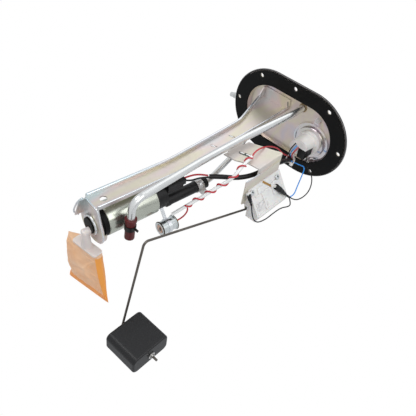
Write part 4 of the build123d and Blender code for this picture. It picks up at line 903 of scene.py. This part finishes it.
# Camera, fitted together with the main sizes to points read from the photo
eye = {
    "place": (0.29128, -0.40986, -0.54979), "right": (0.72925, -0.11984, 0.67367),
    "down": (0.53771, 0.70923, -0.45591), "lens": 45.735,
}
right = Vector(eye["right"]).normalized()
down = Vector(eye["down"])
down = (down - right * down.dot(right)).normalized()
ahead = right.cross(down)
camera = bpy.data.objects.new("camera", bpy.data.cameras.new("camera"))
camera.data.lens = eye["lens"]
camera.data.sensor_width = 36
camera.data.clip_start = 0.01
turned = Matrix((right, -down, -ahead)).transposed().to_4x4()
camera.matrix_world = Matrix.Translation(Vector(eye["place"])) @ turned
bpy.context.scene.collection.objects.link(camera)
bpy.context.scene.camera = camera

# Lamps, placed as the camera sees them: to its right, up, and towards it
middle = Vector((0.02, 0.02, -0.16))
lamps = {
    "key": {"at": (-0.45, 0.70, 0.95), "size": 0.8, "power": 9.5},
    "front": {"at": (0.7, 0.1, 1.0), "size": 0.9, "power": 5.0},
    "left": {"at": (-1.0, -0.50, -0.05), "size": 1.2, "power": 15.0},
    "edge": {"at": (0.6, 1.0, -0.1), "size": 1.2, "power": 2.6},
}
for name, values in lamps.items():
    light = bpy.data.lights.new(name, "AREA")
    light.size = values["size"]
    light.energy = values["power"]
    lamp = bpy.data.objects.new(name, light)
    x, y, z = values["at"]
    lamp.location = middle + right * x - down * y - ahead * z
    lamp.rotation_euler = (middle - lamp.location).to_track_quat("-Z", "Y").to_euler()
    bpy.context.scene.collection.objects.link(lamp)

# A white backdrop for the camera, also through clear pieces, and a softer, cooler fill for everything else
fill = {"colour": (0.9, 0.92, 0.95, 1), "strength": 0.75}
world = bpy.data.worlds.new("studio")
world.use_nodes = True
bpy.context.scene.world = world
tree = world.node_tree
back = tree.nodes["Background"]
sky = tree.nodes.new("ShaderNodeBackground")
path = tree.nodes.new("ShaderNodeLightPath")
seen = Wave(tree, path.outputs["Is Camera Ray"]) + Wave(tree, path.outputs["Is Transmission Ray"])
mixed = tree.nodes.new("ShaderNodeMixShader")
back.inputs["Color"].default_value = fill["colour"]
back.inputs["Strength"].default_value = fill["strength"]
sky.inputs["Color"].default_value = (1, 1, 1, 1)
tree.links.new(seen.clamp().socket, mixed.inputs[0])
tree.links.new(back.outputs[0], mixed.inputs[1])
tree.links.new(sky.outputs[0], mixed.inputs[2])
tree.links.new(mixed.outputs[0], tree.nodes["World Output"].inputs["Surface"])

floorHeight = -0.62
floorMesh = bpy.data.meshes.new("floor")
grid = bmesh.new()
bmesh.ops.create_grid(grid, x_segments=4, y_segments=4, size=2.0)
grid.to_mesh(floorMesh)
grid.free()
floor = bpy.data.objects.new("floor", floorMesh)
floor.location = (0, 0, floorHeight)
floorPaint = paintedFinish("floorPaint", (0.82, 0.82, 0.82), 0.7, 0.01, 20.0, 0.02)
floor.data.materials.append(floorPaint.material)
bpy.context.scene.collection.objects.link(floor)
print("camera, lamps and floor placed")

bpy.context.scene.view_settings.view_transform = "Standard"
bpy.context.view_layer.update()
